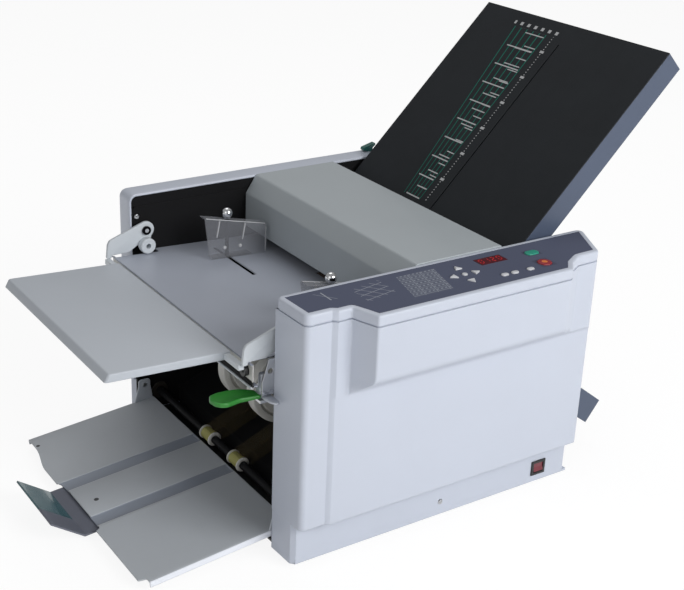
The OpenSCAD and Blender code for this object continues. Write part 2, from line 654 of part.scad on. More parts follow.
// ---- feed side ----
module feed_plate() color([0.60, 0.62, 0.66]) {
    difference() {
        union() {
            across(arm_y + arm_t + 3, inner_w - arm_y - arm_t - 3) feed_profile(plate_x0);
            across(near_in, far_in) feed_profile(pivot[0] + 16);
        }
        // slots of the side guides
        for (s = [0, 1]) translate([knob_x - stem_r - 0.5, s * inner_w + (1 - 2 * s) * 22 - s * 105, plane_z(knob_x) - 12])
            cube([2 * stem_r + 1, 105, 24]);
        // window of the separator pad
        translate([feed_x - 19, mid_y - 25, feed_z - feed_r - 20]) cube([38, 50, 40]);
    }
    // front rail with its folded lip
    across(arm_y - 2, inner_w - arm_y + 2) polygon([
        [plate_x0, plane_z(plate_x0) - 2], [plate_x0 + 2, plane_z(plate_x0) - 2],
        [plate_x0 + 2, plane_z(plate_x0) - 28], [plate_x0 + 9, plane_z(plate_x0) - 28],
        [plate_x0 + 9, plane_z(plate_x0) - 26.5], [plate_x0 + 3.5, plane_z(plate_x0) - 26.5],
        [plate_x0 + 3.5, plane_z(plate_x0) - 1.6], [plate_x0, plane_z(plate_x0) - 0.6]]);
}

module feed_profile(x0) polygon([
    [x0, plane_z(x0)], [feed_x + 22, plane_z(feed_x + 22)], [roller1[0] - 10, roller1[1] - fold_r - 4],
    [roller1[0] - 10, roller1[1] - fold_r - 4 - sheet_t], [feed_x + 22, plane_z(feed_x + 22) - sheet_t - 0.3],
    [x0, plane_z(x0) - sheet_t]]);

module separator_pad() color([0.28, 0.2, 0.16]) across(mid_y - 24.5, mid_y + 24.5)
    polygon([[feed_x - 18.5, plane_z(feed_x) - 12], [feed_x - 18.5, plane_z(feed_x - 18.5)],
        [feed_x + 18.5, plane_z(feed_x + 18.5)], [feed_x + 18.5, plane_z(feed_x) - 12]]);

// Bracket of the pressure lever on the near frame, with a tab bored for the lever's pin
module lever_bracket() color([0.66, 0.68, 0.72]) difference() {
    union() {
        across(0.05, 2) polygon([[-12, lever_z - 4], [14, lever_z - 4], [24, lever_z + 14],
            [24, lever_z + 46], [-4, lever_z + 46], [-12, lever_z + 20]]);
        translate([-14, 0.05, lever_z - 4]) cube([16, 16.5, 3.7]);
    }
    // window for the lever's tail
    translate([-20, -1, lever_z - soft_gap]) cube([22.5, 4, lever_t + 2 * soft_gap]);
    rod([-2, lever_z + 32], 3, -2, 4);
    translate([lever_c[0], lever_c[1], lever_z - 6]) cylinder(r = lever_pin_r + run_gap, h = 8);
}

module skew_knob() color([0.05, 0.05, 0.06]) translate([plate_x0 + 2, 16, plane_z(plate_x0) - 12]) rotate([0, -90, 0]) {
    cylinder(r = 6.5, h = 5);
    cylinder(r = 2.2, h = 6.2);
}

module roller_bushes() color([0.7, 0.55, 0.3]) for (c = shafts, s = [0, 1])
    difference() {
        y0 = s == 0 ? near_in - frame_t : far_in;
        union() {
            rod(c, bush_r, y0, y0 + frame_t);
            rod(c, bush_r + 2.5, s == 0 ? near_in : far_in - 1.5, s == 0 ? near_in + 1.5 : far_in);
        }
        rod(c, shaft_r + run_gap, y0 - 3, y0 + frame_t + 3);
    }

module feed_table() color([0.80, 0.82, 0.86]) on_plane() difference() {
    across(table_y0, table_y1) polygon([[0, 0], [table_l, 0], [table_l, -table_edge], [-table_lean, -table_edge]]);
    across(table_y0 + sheet_t, table_y1 - sheet_t) polygon([
        [0.6 * sheet_t, -sheet_t], [table_l - sheet_t, -sheet_t], [table_l - sheet_t, -table_edge - 1],
        [1.1 * sheet_t - table_lean * (1 + 1 / table_edge), -table_edge - 1]]);
}

module table_arms() color([0.84, 0.85, 0.88]) {
    for (y0 = [arm_y, inner_w - arm_y - arm_t]) difference() {
        across(y0, y0 + arm_t) arm_2d();
        rod(pivot, arm_pin_r + run_gap, y0 - 1, y0 + arm_t + 1);
    }
    // collars on the inner faces of the arms
    for (y0 = [arm_y + arm_t, inner_w - arm_y - arm_t - 9]) difference() {
        rod(collar, 10, y0, y0 + 9);
        rod(collar, 3, y0 - 1, y0 + 10);
        rod(pivot, arm_pin_r + 2, y0 - 1, y0 + 10);
    }
    // cross bar that carries the table
    on_plane() translate([table_l - 8.5, arm_y + arm_t, -table_edge + 1])
        cube([7, inner_w - 2 * arm_y - 2 * arm_t, table_edge - 1 - sheet_t]);
}

module arm_2d() {
    translate(pivot) circle(r = 11);
    translate(collar) circle(r = 9);
    polygon([pivot + [-4, 10.2], pivot + [-48.5, -6], pivot + [-51.5, -11], pivot + [-55, -35.5],
        pivot + [-47.2, -35.5], pivot + [-46.9, -26], pivot + [-24, -26], pivot + [-11, -15.5],
        pivot + [7, -8.5]]);
}

// Side guides: s = 0 near, 1 far. The guide plate leans on a foot; a flange runs along its top
guide_t = 2;
guide_drop = 0.236;
function guide_y(s) = guide_ys[s] - (s == 0 ? guide_t : 0);
function stem_y(s) = guide_y(s) + guide_t / 2 + (s == 0 ? -7 : 7);
guide_top = plane_z(guide_x0) + guide_h;
function guide_edge(x) = guide_top - (x - guide_x0) * guide_drop;

module guide(s) {
    y0 = guide_y(s);
    ya = s == 0 ? y0 - 12 : y0 + guide_t;
    difference() {
        across(y0, y0 + guide_t) polygon([[guide_x0, guide_top], [guide_x0 + 7, plane_z(guide_x0) + soft_gap],
            [guide_x1, plane_z(guide_x1) + soft_gap + 0.2], [guide_x1, guide_edge(guide_x1)]]);
        for (x = [guide_x0 + 20, guide_x0 + 56]) across(y0 - 1, y0 + guide_t + 1)
            polygon([[x, guide_top], [x + 1.2, guide_top], [x - 4, guide_top - 24], [x - 5.2, guide_top - 24]]);
    }
    difference() {
        union() {
            across(ya, ya + 12) polygon([[guide_x0, guide_top], [guide_x1, guide_edge(guide_x1)],
                [guide_x1, guide_edge(guide_x1) - 1.5], [guide_x0, guide_top - 1.5]]);
            across(ya, ya + 12) polygon([[guide_x0 + 12, plane_z(guide_x0 + 12) + soft_gap],
                [guide_x1 - 20, plane_z(guide_x1 - 20) + soft_gap], [guide_x1 - 20, plane_z(guide_x1 - 20) + 1.8],
                [guide_x0 + 12, plane_z(guide_x0 + 12) + 1.8]]);
        }
        translate([knob_x, stem_y(s), 180]) cylinder(r = stem_r + run_gap, h = 140);
    }
}

module guide_knob(s) translate([knob_x, stem_y(s), 0]) {
    top = guide_edge(knob_x - 4) + run_gap;
    translate([0, 0, plane_z(knob_x) - 8]) cylinder(r = stem_r, h = top - plane_z(knob_x) + 10);
    translate([0, 0, top]) cylinder(r1 = 4, r2 = 3, h = 3);
    translate([0, 0, top + 6.5]) sphere(r = knob_r);
    // clamp nut below the feed plate
    translate([0, 0, plane_z(knob_x) - 8]) cylinder(r = 6, h = 5.6);
}

module guide_far() color([0.45, 0.46, 0.48]) guide(1);
module guide_near() color([0.45, 0.46, 0.48]) guide(0);
module guide_knob_far() color([0.85, 0.86, 0.88]) guide_knob(1);
module guide_knob_near() color([0.85, 0.86, 0.88]) guide_knob(0);

// Pressure lever: steel plate, hub and green grip, turning about an upright axis
module lever_plate() color([0.70, 0.71, 0.74]) translate([lever_c[0], lever_c[1], lever_z]) {
    linear_extrude(lever_t) {
        circle(r = 8);
        polygon([[-4.5, 0], [-3.5, -28], [1, -31], [4.5, -27], [5.5, 0]]);
        polygon([[0, -6], [-22, -3], [-26, 3], [-22, 14], [0, 8]]);
    }
    translate([0, 0, lever_t]) cylinder(r = hub_r, h = 8);
    translate([0, 0, lever_t + 8]) cylinder(r1 = hub_r, r2 = 2.5, h = 5);
    translate([0, 0, -6]) cylinder(r = lever_pin_r, h = 6.5);
}

module lever_grip() color([0.15, 0.55, 0.15]) translate([lever_c[0], lever_c[1], lever_z])
    intersection() {
        // side view: level by the hub, dipping towards the tip
        translate([0, 30, 0]) rotate([90, 0, 0]) linear_extrude(60) polygon([
            [-10, 0.2], [-12.6, 0.2], [-13.5, -1.2], [-32, -1], [-58, -5.5], [-59, -0.8], [-33, 5], [-10, 5.2]]);
        // plan: widens to a rounded end
        translate([0, 0, -20]) linear_extrude(60) difference() {
            union() {
                polygon([[-8, -5], [-28, -2.5], [-47, -8.5], [-53, -9], [-57, -5], [-58.5, 4], [-55, 12],
                    [-44, 17], [-32, 20], [-20, 19], [-9, 10]]);
            }
            circle(r = hub_r + 1);
        }
    }

// ---- rollers ----
module shaft(c, y0, y1) rod(c, shaft_r, y0, y1);

module roller_shaft(c) shaft(c, gear_y0 - 1, far_in + frame_t + 2);

module feed_roller() color([0.25, 0.25, 0.27]) {
    roller_shaft(feed_c);
    rod(feed_c, feed_r, mid_y - feed_w / 2, mid_y + feed_w / 2);
    gear_at(feed_c, feed_n, phase_feed, gear_y0);
}

module idler_gear() color([0.85, 0.83, 0.75]) difference() {
    gear_at(idler, idler_n, phase_idler, gear_y0);
    rod(idler, 4 + run_gap, gear_y0 - 1, gear_y0 + gear_w + 1);
}

// Fold roller with grooved rubber sleeve and its gear
module fold_roller(c, phase) {
    roller_shaft(c);
    rod(c, fold_r, roller_y0, roller_y1);
    gear_at(c, fold_n, phase, gear_y0);
}

module fold_roller_1() color([0.3, 0.3, 0.32]) fold_roller(roller1, phase1);
module fold_roller_2() color([0.3, 0.3, 0.32]) {
    fold_roller(roller2, phase2);
    shaft(roller2, drive_y - 2, gear_y0);
    pulley_at(roller2, main_pulley_r, drive_y, drive_w);
}
module fold_roller_3() color([0.3, 0.3, 0.32]) fold_roller(roller3, phase3);
module fold_roller_4() color([0.3, 0.3, 0.32]) {
    fold_roller(roller4, phase4);
    shaft(roller4, far_in + frame_t, link_y + drive_w + 2);
    pulley_at(roller4, link_small_r, link_y, drive_w);
}

module conveyor(c) {
    shaft(c, near_in - frame_t - 2, far_in + frame_t + 2);
    for (y = belt_ys) {
        rod(c, conv_r, y - belt_w / 2 - 1, y + belt_w / 2 + 1);
        for (s = [-1, 1]) rod(c, conv_r + belt_t + 0.5, y + s * (belt_w / 2 + 2) - 1, y + s * (belt_w / 2 + 2) + 1);
    }
}
module conveyor_front() color([0.85, 0.84, 0.75]) conveyor(conv_front);
module conveyor_rear() color([0.85, 0.84, 0.75]) {
    conveyor(conv_rear);
    shaft(conv_rear, far_in, link_y + drive_w + 2);
    pulley_at(conv_rear, link_big_r, link_y, drive_w);
}

module stacker_wheels() color([0.86, 0.85, 0.78]) {
    shaft(wheel_c, near_in - frame_t - 2, far_in + frame_t + 2);
    for (y = belt_ys) difference() {
        union() {
            rod(wheel_c, wheel_r, y - wheel_w / 2, y + wheel_w / 2);
            rod(wheel_c, 12, y - wheel_w / 2 - 6, y + wheel_w / 2 + 6);
        }
        // ring groove in both faces
        for (s = [-1, 1]) difference() {
            rod(wheel_c, wheel_r - 9, y + s * wheel_w / 2 - 3, y + s * wheel_w / 2 + 3);
            rod(wheel_c, wheel_r - 12, y + s * wheel_w / 2 - 4, y + s * wheel_w / 2 + 4);
        }
    }
}

// ---- drive ----
module drive_motor() color([0.35, 0.36, 0.38]) difference() {
    union() {
        rod(motor_c, motor_r, near_in, motor_l);
        rod(motor_c, motor_boss_r, near_in - frame_t, near_in);
    }
    rod(motor_c, shaft_r + run_gap, near_in - frame_t - 1, near_in + 20);
}

module motor_pulley() color([0.6, 0.6, 0.63]) {
    shaft(motor_c, drive_y - 2, near_in + 18);
    pulley_at(motor_c, motor_pulley_r, drive_y, drive_w);
}

module belts() color([0.35, 0.28, 0.16]) {
    belt(motor_c, motor_pulley_r + run_gap, roller2, main_pulley_r + run_gap, 1.5,
        drive_y + soft_gap, drive_y + drive_w - soft_gap);
    belt(roller4, link_small_r + run_gap, conv_rear, link_big_r + run_gap, 1.5,
        link_y + soft_gap, link_y + drive_w - soft_gap);
    for (y = belt_ys)
        belt(conv_front, conv_r + run_gap, conv_rear, conv_r + run_gap, belt_t, y - belt_w / 2, y + belt_w / 2);
}

// ---- centre cover ----
module hump_2d(inset) polygon([
    [hump_x0 + inset, hump_z0 - (inset > 0 ? 1 : 0)], [hump_x0 + inset, housing_h - 22 - inset * 0.3],
    [hump_x0 + 15 + inset * 0.6, housing_h + 1 - inset], [hump_x1 - inset, housing_h + 1 - inset],
    [hump_x1 - inset, housing_h - 18 - (inset > 0 ? 1 : 0)], [hump_x1 - 20, housing_h - 18 - (inset > 0 ? 1 : 0)],
    [hump_x0 + 8, hump_z0 - (inset > 0 ? 1 : 0)]]);

module centre_cover() color([0.60, 0.64, 0.63]) {
    difference() {
        across(hump_y0, hump_y1) hump_2d(0);
        across(hump_y0 + 2.5, hump_y1 - 2.5) polygon([
            [hump_x0 + 2.5, hump_z0 - 1], [hump_x0 + 2.5, housing_h - 22.6], [hump_x0 + 16.5, housing_h - 1.5],
            [hump_x1 - 2.5, housing_h - 1.5], [hump_x1 - 2.5, housing_h - 30], [hump_x1 - 10, hump_z0 - 1]]);
        // end walls stay above the roller shafts
        across(hump_y0 - 1, hump_y1 + 1) polygon([[hump_x0 + 2.5, hump_z0 - 1], [hump_x0 + 2.5, feed_z + 8],
            [hump_x1 - 12, housing_h - 19], [hump_x1 + 2, housing_h - 19], [hump_x1 + 2, hump_z0 - 1]]);
    }
    // hinge ears and pins
    for (s = [0, 1]) {
        y0 = s == 0 ? hump_y0 : hump_y1 - 2.5;
        across(y0, y0 + 2.5) {
            translate(hump_pin) circle(r = 6);
            translate(hump_pin - [6, 0]) square([12, 8]);
        }
        rod(hump_pin, hump_pin_r, s == 0 ? near_in - frame_t : hump_y1 - 2.5, s == 0 ? hump_y0 + 2.5 : far_in + frame_t);
    }
}

// ---- fold plates ----
module plate_case(len, t, slot0, slot1) difference() {
    translate([0, plate_y0, -t / 2]) cube([len, plate_w, t - sheet_t]);
    translate([-1, plate_y0 + 2, -t / 2 + 2]) cube([len - 1, plate_w - 4, t]);
    translate([slot0, mid_y - 5, -t / 2 - 1]) cube([slot1 - slot0, 10, 4]);
}

module plate_stop(s, t) translate([s, 0, 0]) {
    translate([-6, plate_y0 + 2 + slide_gap, -t / 2 + 2 + slide_gap])
        cube([12, plate_w - 4 - 2 * slide_gap, t - 2 - sheet_t - 2 * slide_gap]);
    // screw and knob under the plate
    translate([0, mid_y, -t / 2 - 3]) cylinder(r = 3.5, h = 8);
    translate([0, mid_y, -t / 2 - 15]) cylinder(r = 11, h = 14.6);
}

module plate_1_case() color([0.47, 0.51, 0.62]) on_plate1() plate_case(plate1_l, plate1_t, 60, 345);
module plate_1_face() color([0.16, 0.17, 0.18]) on_plate1() difference() {
    translate([0, plate_y0, plate1_t / 2 - sheet_t]) cube([plate1_l, plate_w, sheet_t]);
    translate([24, mid_y - slot_w / 2 - 2, plate1_t / 2 - 3]) cube([plate1_l - 56, slot_w, 6]);
}
module plate_1_stop() color([0.55, 0.56, 0.6]) on_plate1() plate_stop(stop1_s, plate1_t);

module plate_2_case() color([0.42, 0.46, 0.58]) on_plate2() {
    plate_case(plate2_l, plate2_t, 40, plate2_l - 30);
    difference() {
        translate([0, plate_y0, plate2_t / 2 - sheet_t]) cube([plate2_l, plate_w, sheet_t]);
        translate([-1, mid_y - 60, plate2_t / 2 - 3]) cube([10, 120, 6]);
    }
}
module plate_2_stop() color([0.55, 0.56, 0.6]) on_plate2() plate_stop(stop2_s, plate2_t);

// Release catch of the upper fold plate on the far housing
module plate_release() color([0.1, 0.42, 0.36]) {
    translate([release_x, 0, housing_h]) across(release_y, release_y + release_w)
        polygon([[-4, -16], [4, -16], [4, 4], [9, 8], [8, 11], [-11, 6], [-12, 2], [-4, 0]]);
    rod([release_x, housing_h - 12], 3, inner_w + 12, inner_w + far_d - wall);
}

// ---- delivery tray ----
module delivery_tray() color([0.66, 0.68, 0.71]) {
    on_tray() difference() {
        translate([-tray_l, tray_y0, -tray_edge]) cube([tray_l, tray_y1 - tray_y0, tray_edge]);
        // open below and at the outer end
        translate([-tray_l - 1, tray_y0 + sheet_t, -tray_edge - 1])
            cube([tray_l + 1 - sheet_t, tray_y1 - tray_y0 - 2 * sheet_t, tray_edge + 1 - tray_t]);
        for (y = groove_ys) translate([-tray_l - 1, y - groove_w / 2, -groove_deep])
            cube([tray_l + 2, groove_w, 3]);
        translate([-tray_l + 16, mid_y - 2, -10]) cylinder(r = 3, h = 20);
        translate([-tray_l + 4, tray_y1 - 22, -10]) cylinder(r = 2.4, h = 20);
    }
    // ears of the tray hinge
    for (y0 = [tray_y0 + 0.5, tray_y1 - 0.5 - ear_t]) difference() {
        across(y0, y0 + ear_t) {
            polygon([tray_local(-26, -1), tray_pin + [-8.2, 1], tray_pin + [8.2, 1], tray_local(-0.5, -1)]);
            translate(tray_pin) circle(r = 8.3);
        }
        rod(tray_pin, tray_pin_r + run_gap, y0 - 1, y0 + ear_t + 1);
    }
}

module tray_stop() color([0.45, 0.47, 0.50]) on_tray() {
    translate([-tray_l - stop_out, stop_y0, stop_z]) cube([stop_out + 70, stop_y1 - stop_y0, 2]);
    flap(stop_y0, stop_split);
}

module tray_flap() color([0.25, 0.45, 0.47]) on_tray() flap(stop_split, stop_y1);

module flap(y0, y1) translate([-tray_l - stop_out, 0, stop_z]) rotate([0, flap_rise, 0])
    translate([-flap_l, y0, 0]) cube([flap_l, y1 - y0, 2]);

place() base_tub();
place() rubber_feet();
place() near_frame();
place() far_frame();
place() cross_bars();
place() near_cover();
place() far_cover();
place() control_cap();
place() panel_film();
place() display_board();
place() switch_frame();
place() switch_rocker();
place() cover_screws();
place() rear_cover();
place() power_inlet();
place() feed_plate();
place() separator_pad();
place() lever_bracket();
place() skew_knob();
place() roller_bushes();
place() drive_motor();
place() motor_pulley();
place() belts();
place() feed_table();
place() table_arms();
place() guide_far();
place() guide_near();
place() guide_knob_far();
place() guide_knob_near();
place() lever_plate();
place() lever_grip();
place() feed_roller();
place() idler_gear();
place() fold_roller_1();
place() fold_roller_2();
place() fold_roller_3();
place() fold_roller_4();
place() conveyor_front();
place() conveyor_rear();
place() stacker_wheels();
place() centre_cover();
place() plate_1_case();
place() plate_1_face();
place() plate_1_stop();
place() plate_2_case();
place() plate_2_stop();
place() plate_release();
place() delivery_tray();
place() tray_stop();
place() tray_flap();
place() key_up_arrow();
place() key_down_arrow();
place() key_left_arrow();
place() key_right_arrow();
place() key_ok();
place() key_menu_1();
place() key_menu_2();
place() key_menu_3();
place() start_key();
place() stop_key();
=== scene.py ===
"""Looks of a desk paper folding machine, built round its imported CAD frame.

Places are in millimetres in the machine's working frame, as in the part's source: x runs
with the paper, y from the control side to the plain side, z up from the desk. The function
`row` turns them into metres in the shared frame.
"""

import json
import math

import bmesh
import bpy
import numpy as np
from bpy.props import FloatProperty, FloatVectorProperty
from mathutils import Matrix, Vector


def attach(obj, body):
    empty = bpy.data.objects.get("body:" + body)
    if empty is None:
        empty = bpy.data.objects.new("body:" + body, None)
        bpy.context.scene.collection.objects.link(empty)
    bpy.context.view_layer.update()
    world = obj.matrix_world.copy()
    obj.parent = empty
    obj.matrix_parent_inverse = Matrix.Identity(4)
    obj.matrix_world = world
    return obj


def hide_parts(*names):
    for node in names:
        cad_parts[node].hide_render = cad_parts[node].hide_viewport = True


bl_info = {
    "name": "Paper Folding Machine Looks",
    "version": (1, 0, 0),
    "blender": (4, 5, 0),
    "location": "View3D > Sidebar > Folder",
    "description": "Covers, sheet metal, rollers, keys and finishes of a desk paper folding machine",
    "category": "Object",
}

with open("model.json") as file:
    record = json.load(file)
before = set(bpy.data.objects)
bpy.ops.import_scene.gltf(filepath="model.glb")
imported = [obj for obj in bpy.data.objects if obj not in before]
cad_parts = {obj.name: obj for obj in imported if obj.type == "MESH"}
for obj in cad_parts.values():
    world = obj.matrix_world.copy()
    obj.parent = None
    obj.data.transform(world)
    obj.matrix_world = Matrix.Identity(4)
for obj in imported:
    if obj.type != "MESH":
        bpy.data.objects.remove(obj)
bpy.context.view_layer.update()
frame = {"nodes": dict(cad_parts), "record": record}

# The machine's working frame in the shared one, in millimetres
ORIGIN = np.array([180.909, 145.15, 0.0])
# Housings and covers
CAP_Z = 299.0
SKIRT_Z = 59.0
HOUSING_TOP = 312.0
BULGE_Z = 235.0
BULGE_FOOT_Z = 211.0
NEAR_D = 60.5
BULGE_D = 91.7
NEAR_CORNERS = np.array([
    (2.5, 0), (4, -57), (35, -56.7), (40, -60.9), (56.5, -60.5), (67.5, -91.7), (328, -91.7),
    (342, -76.2), (361, -65.5), (392.5, -64.5), (425, 0)], float)
NEAR_RADII = np.array([0.6, 7, 1.2, 1.2, 2.5, 3, 7, 12, 12, 8, 0.6])
# Far cover: its inner side, its ends and rim, and the frame's front, rear and top edge inside it
INNER_Y = 350.0
FAR_X, FAR_RIM = (3.0, 425.0), 3.0
FAR_FRAME = (7.7, 404.3, 296.3)
# Display figures; middles of the two coloured keys
DIGITS_AT, DIGIT_PITCH, DIGIT_LEAN = (250.2, -26.6), 8.4, 0.1
START_KEY, STOP_KEY = (318.2, -32.8), (311.9, -61.6)
# Feed plane
PLANE_X0, PLANE_Z0, PLANE_TILT = -165.5, 246.5, 2.74
TABLE_L, TABLE_EDGE = 139.0, 9.0
PIVOT = (20.5, 267.0)
# Upper fold plate
PLATE1_ANGLE = 45.1
# Delivery; an axle is its radius and its two ends in y
AXLE = (5.0, -6.5, 356.5)
CONV_FRONT = (39.0, 36.0)
WHEEL_C, WHEEL_R, WHEEL_W = (101.0, 123.079), 47.5, 18.0
BELT_YS = (140.0, 210.0)
TRAY_HINGE, TRAY_TILT, TRAY_L = (26.7, 31.0), 5.7, 172.0
TRAY_Y = (1.0, 347.0)
GROOVE_YS, GROOVE_W = (138.0, 222.0), 20.0
# Side guides and their knobs
STEM_YS, KNOB_X, KNOB_R = (57.0, 293.0), 108.0, 6.8
GUIDE_TOP, GUIDE_X0, GUIDE_DROP = 291.084, 73.0, 0.236
# Pressure lever's hub; centre cover's two ends, foot and hinge pin; release catch
LEVER = (-6.0, 9.0, 196.0)
HUMP, HUMP_PIN = (167.0, 303.0, 245.087), (297.0, 287.0)
RELEASE = (375.0, 368.5, 312.0)


# ---------------------------------------------------------------- settings
class FolderSizes(bpy.types.PropertyGroup):
    """Sizes of added detail, the lens and the level of the lamps."""

    sheet_edge: FloatProperty(
        name="Sheet edge radius", description="Rounding of the feed table's folded edge",
        default=0.0014, min=0.0003, max=0.003, unit="LENGTH")
    rule_line: FloatProperty(
        name="Printed line width", description="Width of the green lines on the fold plate",
        default=0.0014, min=0.0003, max=0.003, unit="LENGTH")
    lens: FloatProperty(
        name="Lens", description="Focal length of the camera on a 36 mm sensor",
        default=68.27, min=20.0, max=200.0)
    lamp: FloatProperty(
        name="Lamp level", description="Level of the studio lamps",
        default=1.0, min=0.1, max=4.0)


class FolderColours(bpy.types.PropertyGroup):
    """Base colours of the finishes."""

    cover: FloatVectorProperty(
        name="Covers", description="Moulded off-white covers", subtype="COLOR", size=3,
        default=(0.57, 0.61, 0.70), min=0, max=1)
    tub: FloatVectorProperty(
        name="Base tub", description="Moulded base", subtype="COLOR", size=3,
        default=(0.56, 0.60, 0.69), min=0, max=1)
    table: FloatVectorProperty(
        name="Feed table", description="Pale enamelled sheet metal", subtype="COLOR", size=3,
        default=(0.50, 0.535, 0.585), min=0, max=1)
    hump: FloatVectorProperty(
        name="Centre cover", description="Grey-green enamelled cover", subtype="COLOR", size=3,
        default=(0.42, 0.46, 0.485), min=0, max=1)
    face: FloatVectorProperty(
        name="Plate face", description="Near-black textured plate face", subtype="COLOR", size=3,
        default=(0.020, 0.023, 0.027), min=0, max=1)
    case: FloatVectorProperty(
        name="Plate case", description="Blue-grey plate case", subtype="COLOR", size=3,
        default=(0.073, 0.096, 0.150), min=0, max=1)
    tray: FloatVectorProperty(
        name="Delivery tray", description="Grey enamelled tray", subtype="COLOR", size=3,
        default=(0.52, 0.55, 0.585), min=0, max=1)
    slate: FloatVectorProperty(
        name="Panel film", description="Slate of the control panel", subtype="COLOR", size=3,
        default=(0.092, 0.104, 0.158), min=0, max=1)
    cream: FloatVectorProperty(
        name="Cream plastic", description="Wheels and pulleys", subtype="COLOR", size=3,
        default=(0.80, 0.79, 0.74), min=0, max=1)


# ---------------------------------------------------------------- geometry
def row(points):
    """Working frame in millimetres to the shared frame in metres."""
    return (np.asarray(points, float) - ORIGIN) / 1000.0


def plane_z(x):
    """Height of the feed plane at x."""
    return PLANE_Z0 - (np.asarray(x, float) - PLANE_X0) * math.tan(math.radians(PLANE_TILT))


def grid_faces(rows, cols, wrap=False):
    """Quads of a rows by cols grid of points, joined across the last column if it wraps."""
    i, j = np.meshgrid(np.arange(rows - 1), np.arange(cols if wrap else cols - 1), indexing="ij")
    k = (j + 1) % cols
    return np.stack([i * cols + j, i * cols + k, (i + 1) * cols + k, (i + 1) * cols + j], -1).reshape(-1, 4)


def add_mesh(name, points, faces, body, slot, finish, smooth=35, node=""):
    """Makes a closed piece from points in millimetres and faces.

    It rides on a body, and where a CAD node is named it takes that node's place.
    """
    mesh = bpy.data.meshes.new(name)
    mesh.from_pydata(row(points).tolist(), [], [list(map(int, f)) for f in faces])
    mesh.validate()
    close_outward(mesh)
    mesh.update()
    piece = bpy.data.objects.new(name, mesh)
    bpy.context.scene.collection.objects.link(piece)
    mesh.shade_smooth()
    mesh.set_sharp_from_angle(angle=math.radians(smooth))
    mesh.materials.append(FINISH[finish])
    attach(piece, body)
    if node:
        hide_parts(node)


def close_outward(mesh):
    """Merges doubled points and turns every face of each closed shell outward."""
    bm = bmesh.new()
    bm.from_mesh(mesh)
    bmesh.ops.remove_doubles(bm, verts=bm.verts, dist=1e-7)
    bmesh.ops.recalc_face_normals(bm, faces=bm.faces)
    bm.to_mesh(mesh)
    bm.free()


def oblong(a0, a1, b0, b1):
    """Corners of a rectangle from a0 to a1 and from b0 to b1."""
    return np.array([(a0, b0), (a1, b0), (a1, b1), (a0, b1)], float)


def rounded(corners, radii, steps=6):
    """Closed outline with each corner replaced by an arc of its radius.

    The arc touches both sides at r / tan(half the corner's angle) from the corner.
    """
    corners = np.asarray(corners, float)
    radii = np.broadcast_to(np.asarray(radii, float), (len(corners),))
    out = []
    for k, (p, r) in enumerate(zip(corners, radii)):
        a = corners[k - 1] - p
        b = corners[(k + 1) % len(corners)] - p
        la, lb = np.linalg.norm(a), np.linalg.norm(b)
        a, b = a / la, b / lb
        half = math.acos(np.clip(a @ b, -0.9999, 0.9999)) / 2
        cut = min(r / math.tan(half), 0.49 * la, 0.49 * lb)
        r = cut * math.tan(half)
        middle = p + (a + b) / np.linalg.norm(a + b) * (r / math.sin(half))
        start, end = p + a * cut - middle, p + b * cut - middle
        turn = math.acos(np.clip(start @ end / (np.linalg.norm(start) * np.linalg.norm(end)), -1, 1))
        u = np.linspace(0, 1, steps)[:, None]
        swing = (np.sin((1 - u) * turn) * start + np.sin(u * turn) * end) / max(math.sin(turn), 1e-9)
        out.append(middle + swing)
    return np.concatenate(out)


def inset(corners, depth):
    """Moves each side of a closed outline inward by the depth; corners stay where sides meet."""
    area = 0.5 * np.sum(corners[:, 0] * np.roll(corners[:, 1], -1) - np.roll(corners[:, 0], -1) * corners[:,
                                                                                                          1])
    after = np.roll(corners, -1, 0) - corners
    after /= np.linalg.norm(after, axis=1, keepdims=True)
    normal = np.stack([-after[:, 1], after[:, 0]], 1) * np.sign(area)
    mean = normal + np.roll(normal, 1, 0)
    return corners + mean * (depth / np.maximum((mean * normal).sum(1, keepdims=True), 0.3))


def bulging(corners):
    """1 at the outward corners of a closed outline, -1 at the inward ones."""
    before, after = corners - np.roll(corners, 1, 0), np.roll(corners, -1, 0) - corners
    cross = before[:, 0] * after[:, 1] - before[:, 1] * after[:, 0]
    area = np.sum(corners[:, 0] * np.roll(corners[:, 1], -1) - np.roll(corners[:, 0], -1) * corners[:, 1])
    return np.sign(cross * area)


def stacked(corners, radii, levels, place, steps=6):
    """Closed body of rounded outlines: one ring for each (height, inset) level, capped at both ends.

    A ring is the cornered outline moved in by its inset; outward corners lose that much of
    their radius and inward ones gain it. `place` maps (a, b, height) to the working frame.
    """
    corners = np.asarray(corners, float)
    radii = np.broadcast_to(np.asarray(radii, float), (len(corners),))
    rings = []
    for height, depth in levels:
        ring = rounded(inset(corners, depth), np.maximum(radii - depth * bulging(corners), 0.25), steps)
        rings.append(place(ring[:, 0], ring[:, 1], np.full(len(ring), float(height))))
    n = len(rings[0])
    faces = grid_faces(len(rings), n, wrap=True).tolist()
    faces += [list(range(n)), list(range((len(rings) - 1) * n, len(rings) * n))]
    return np.concatenate(rings), faces


def slab(corners, radii, low, high, edge, place, steps=6, rings=4):
    """Plate with quarter-round rims: at angle t the rim is edge (1 - sin t) in and edge (1 - cos t) up."""
    t = np.linspace(0, math.pi / 2, rings)
    rise, depth = edge * (1 - np.cos(t)), edge * (1 - np.sin(t))
    levels = list(zip(low + rise, depth)) + list(zip((high - rise)[::-1], depth[::-1]))
    return stacked(corners, radii, levels, place, steps)


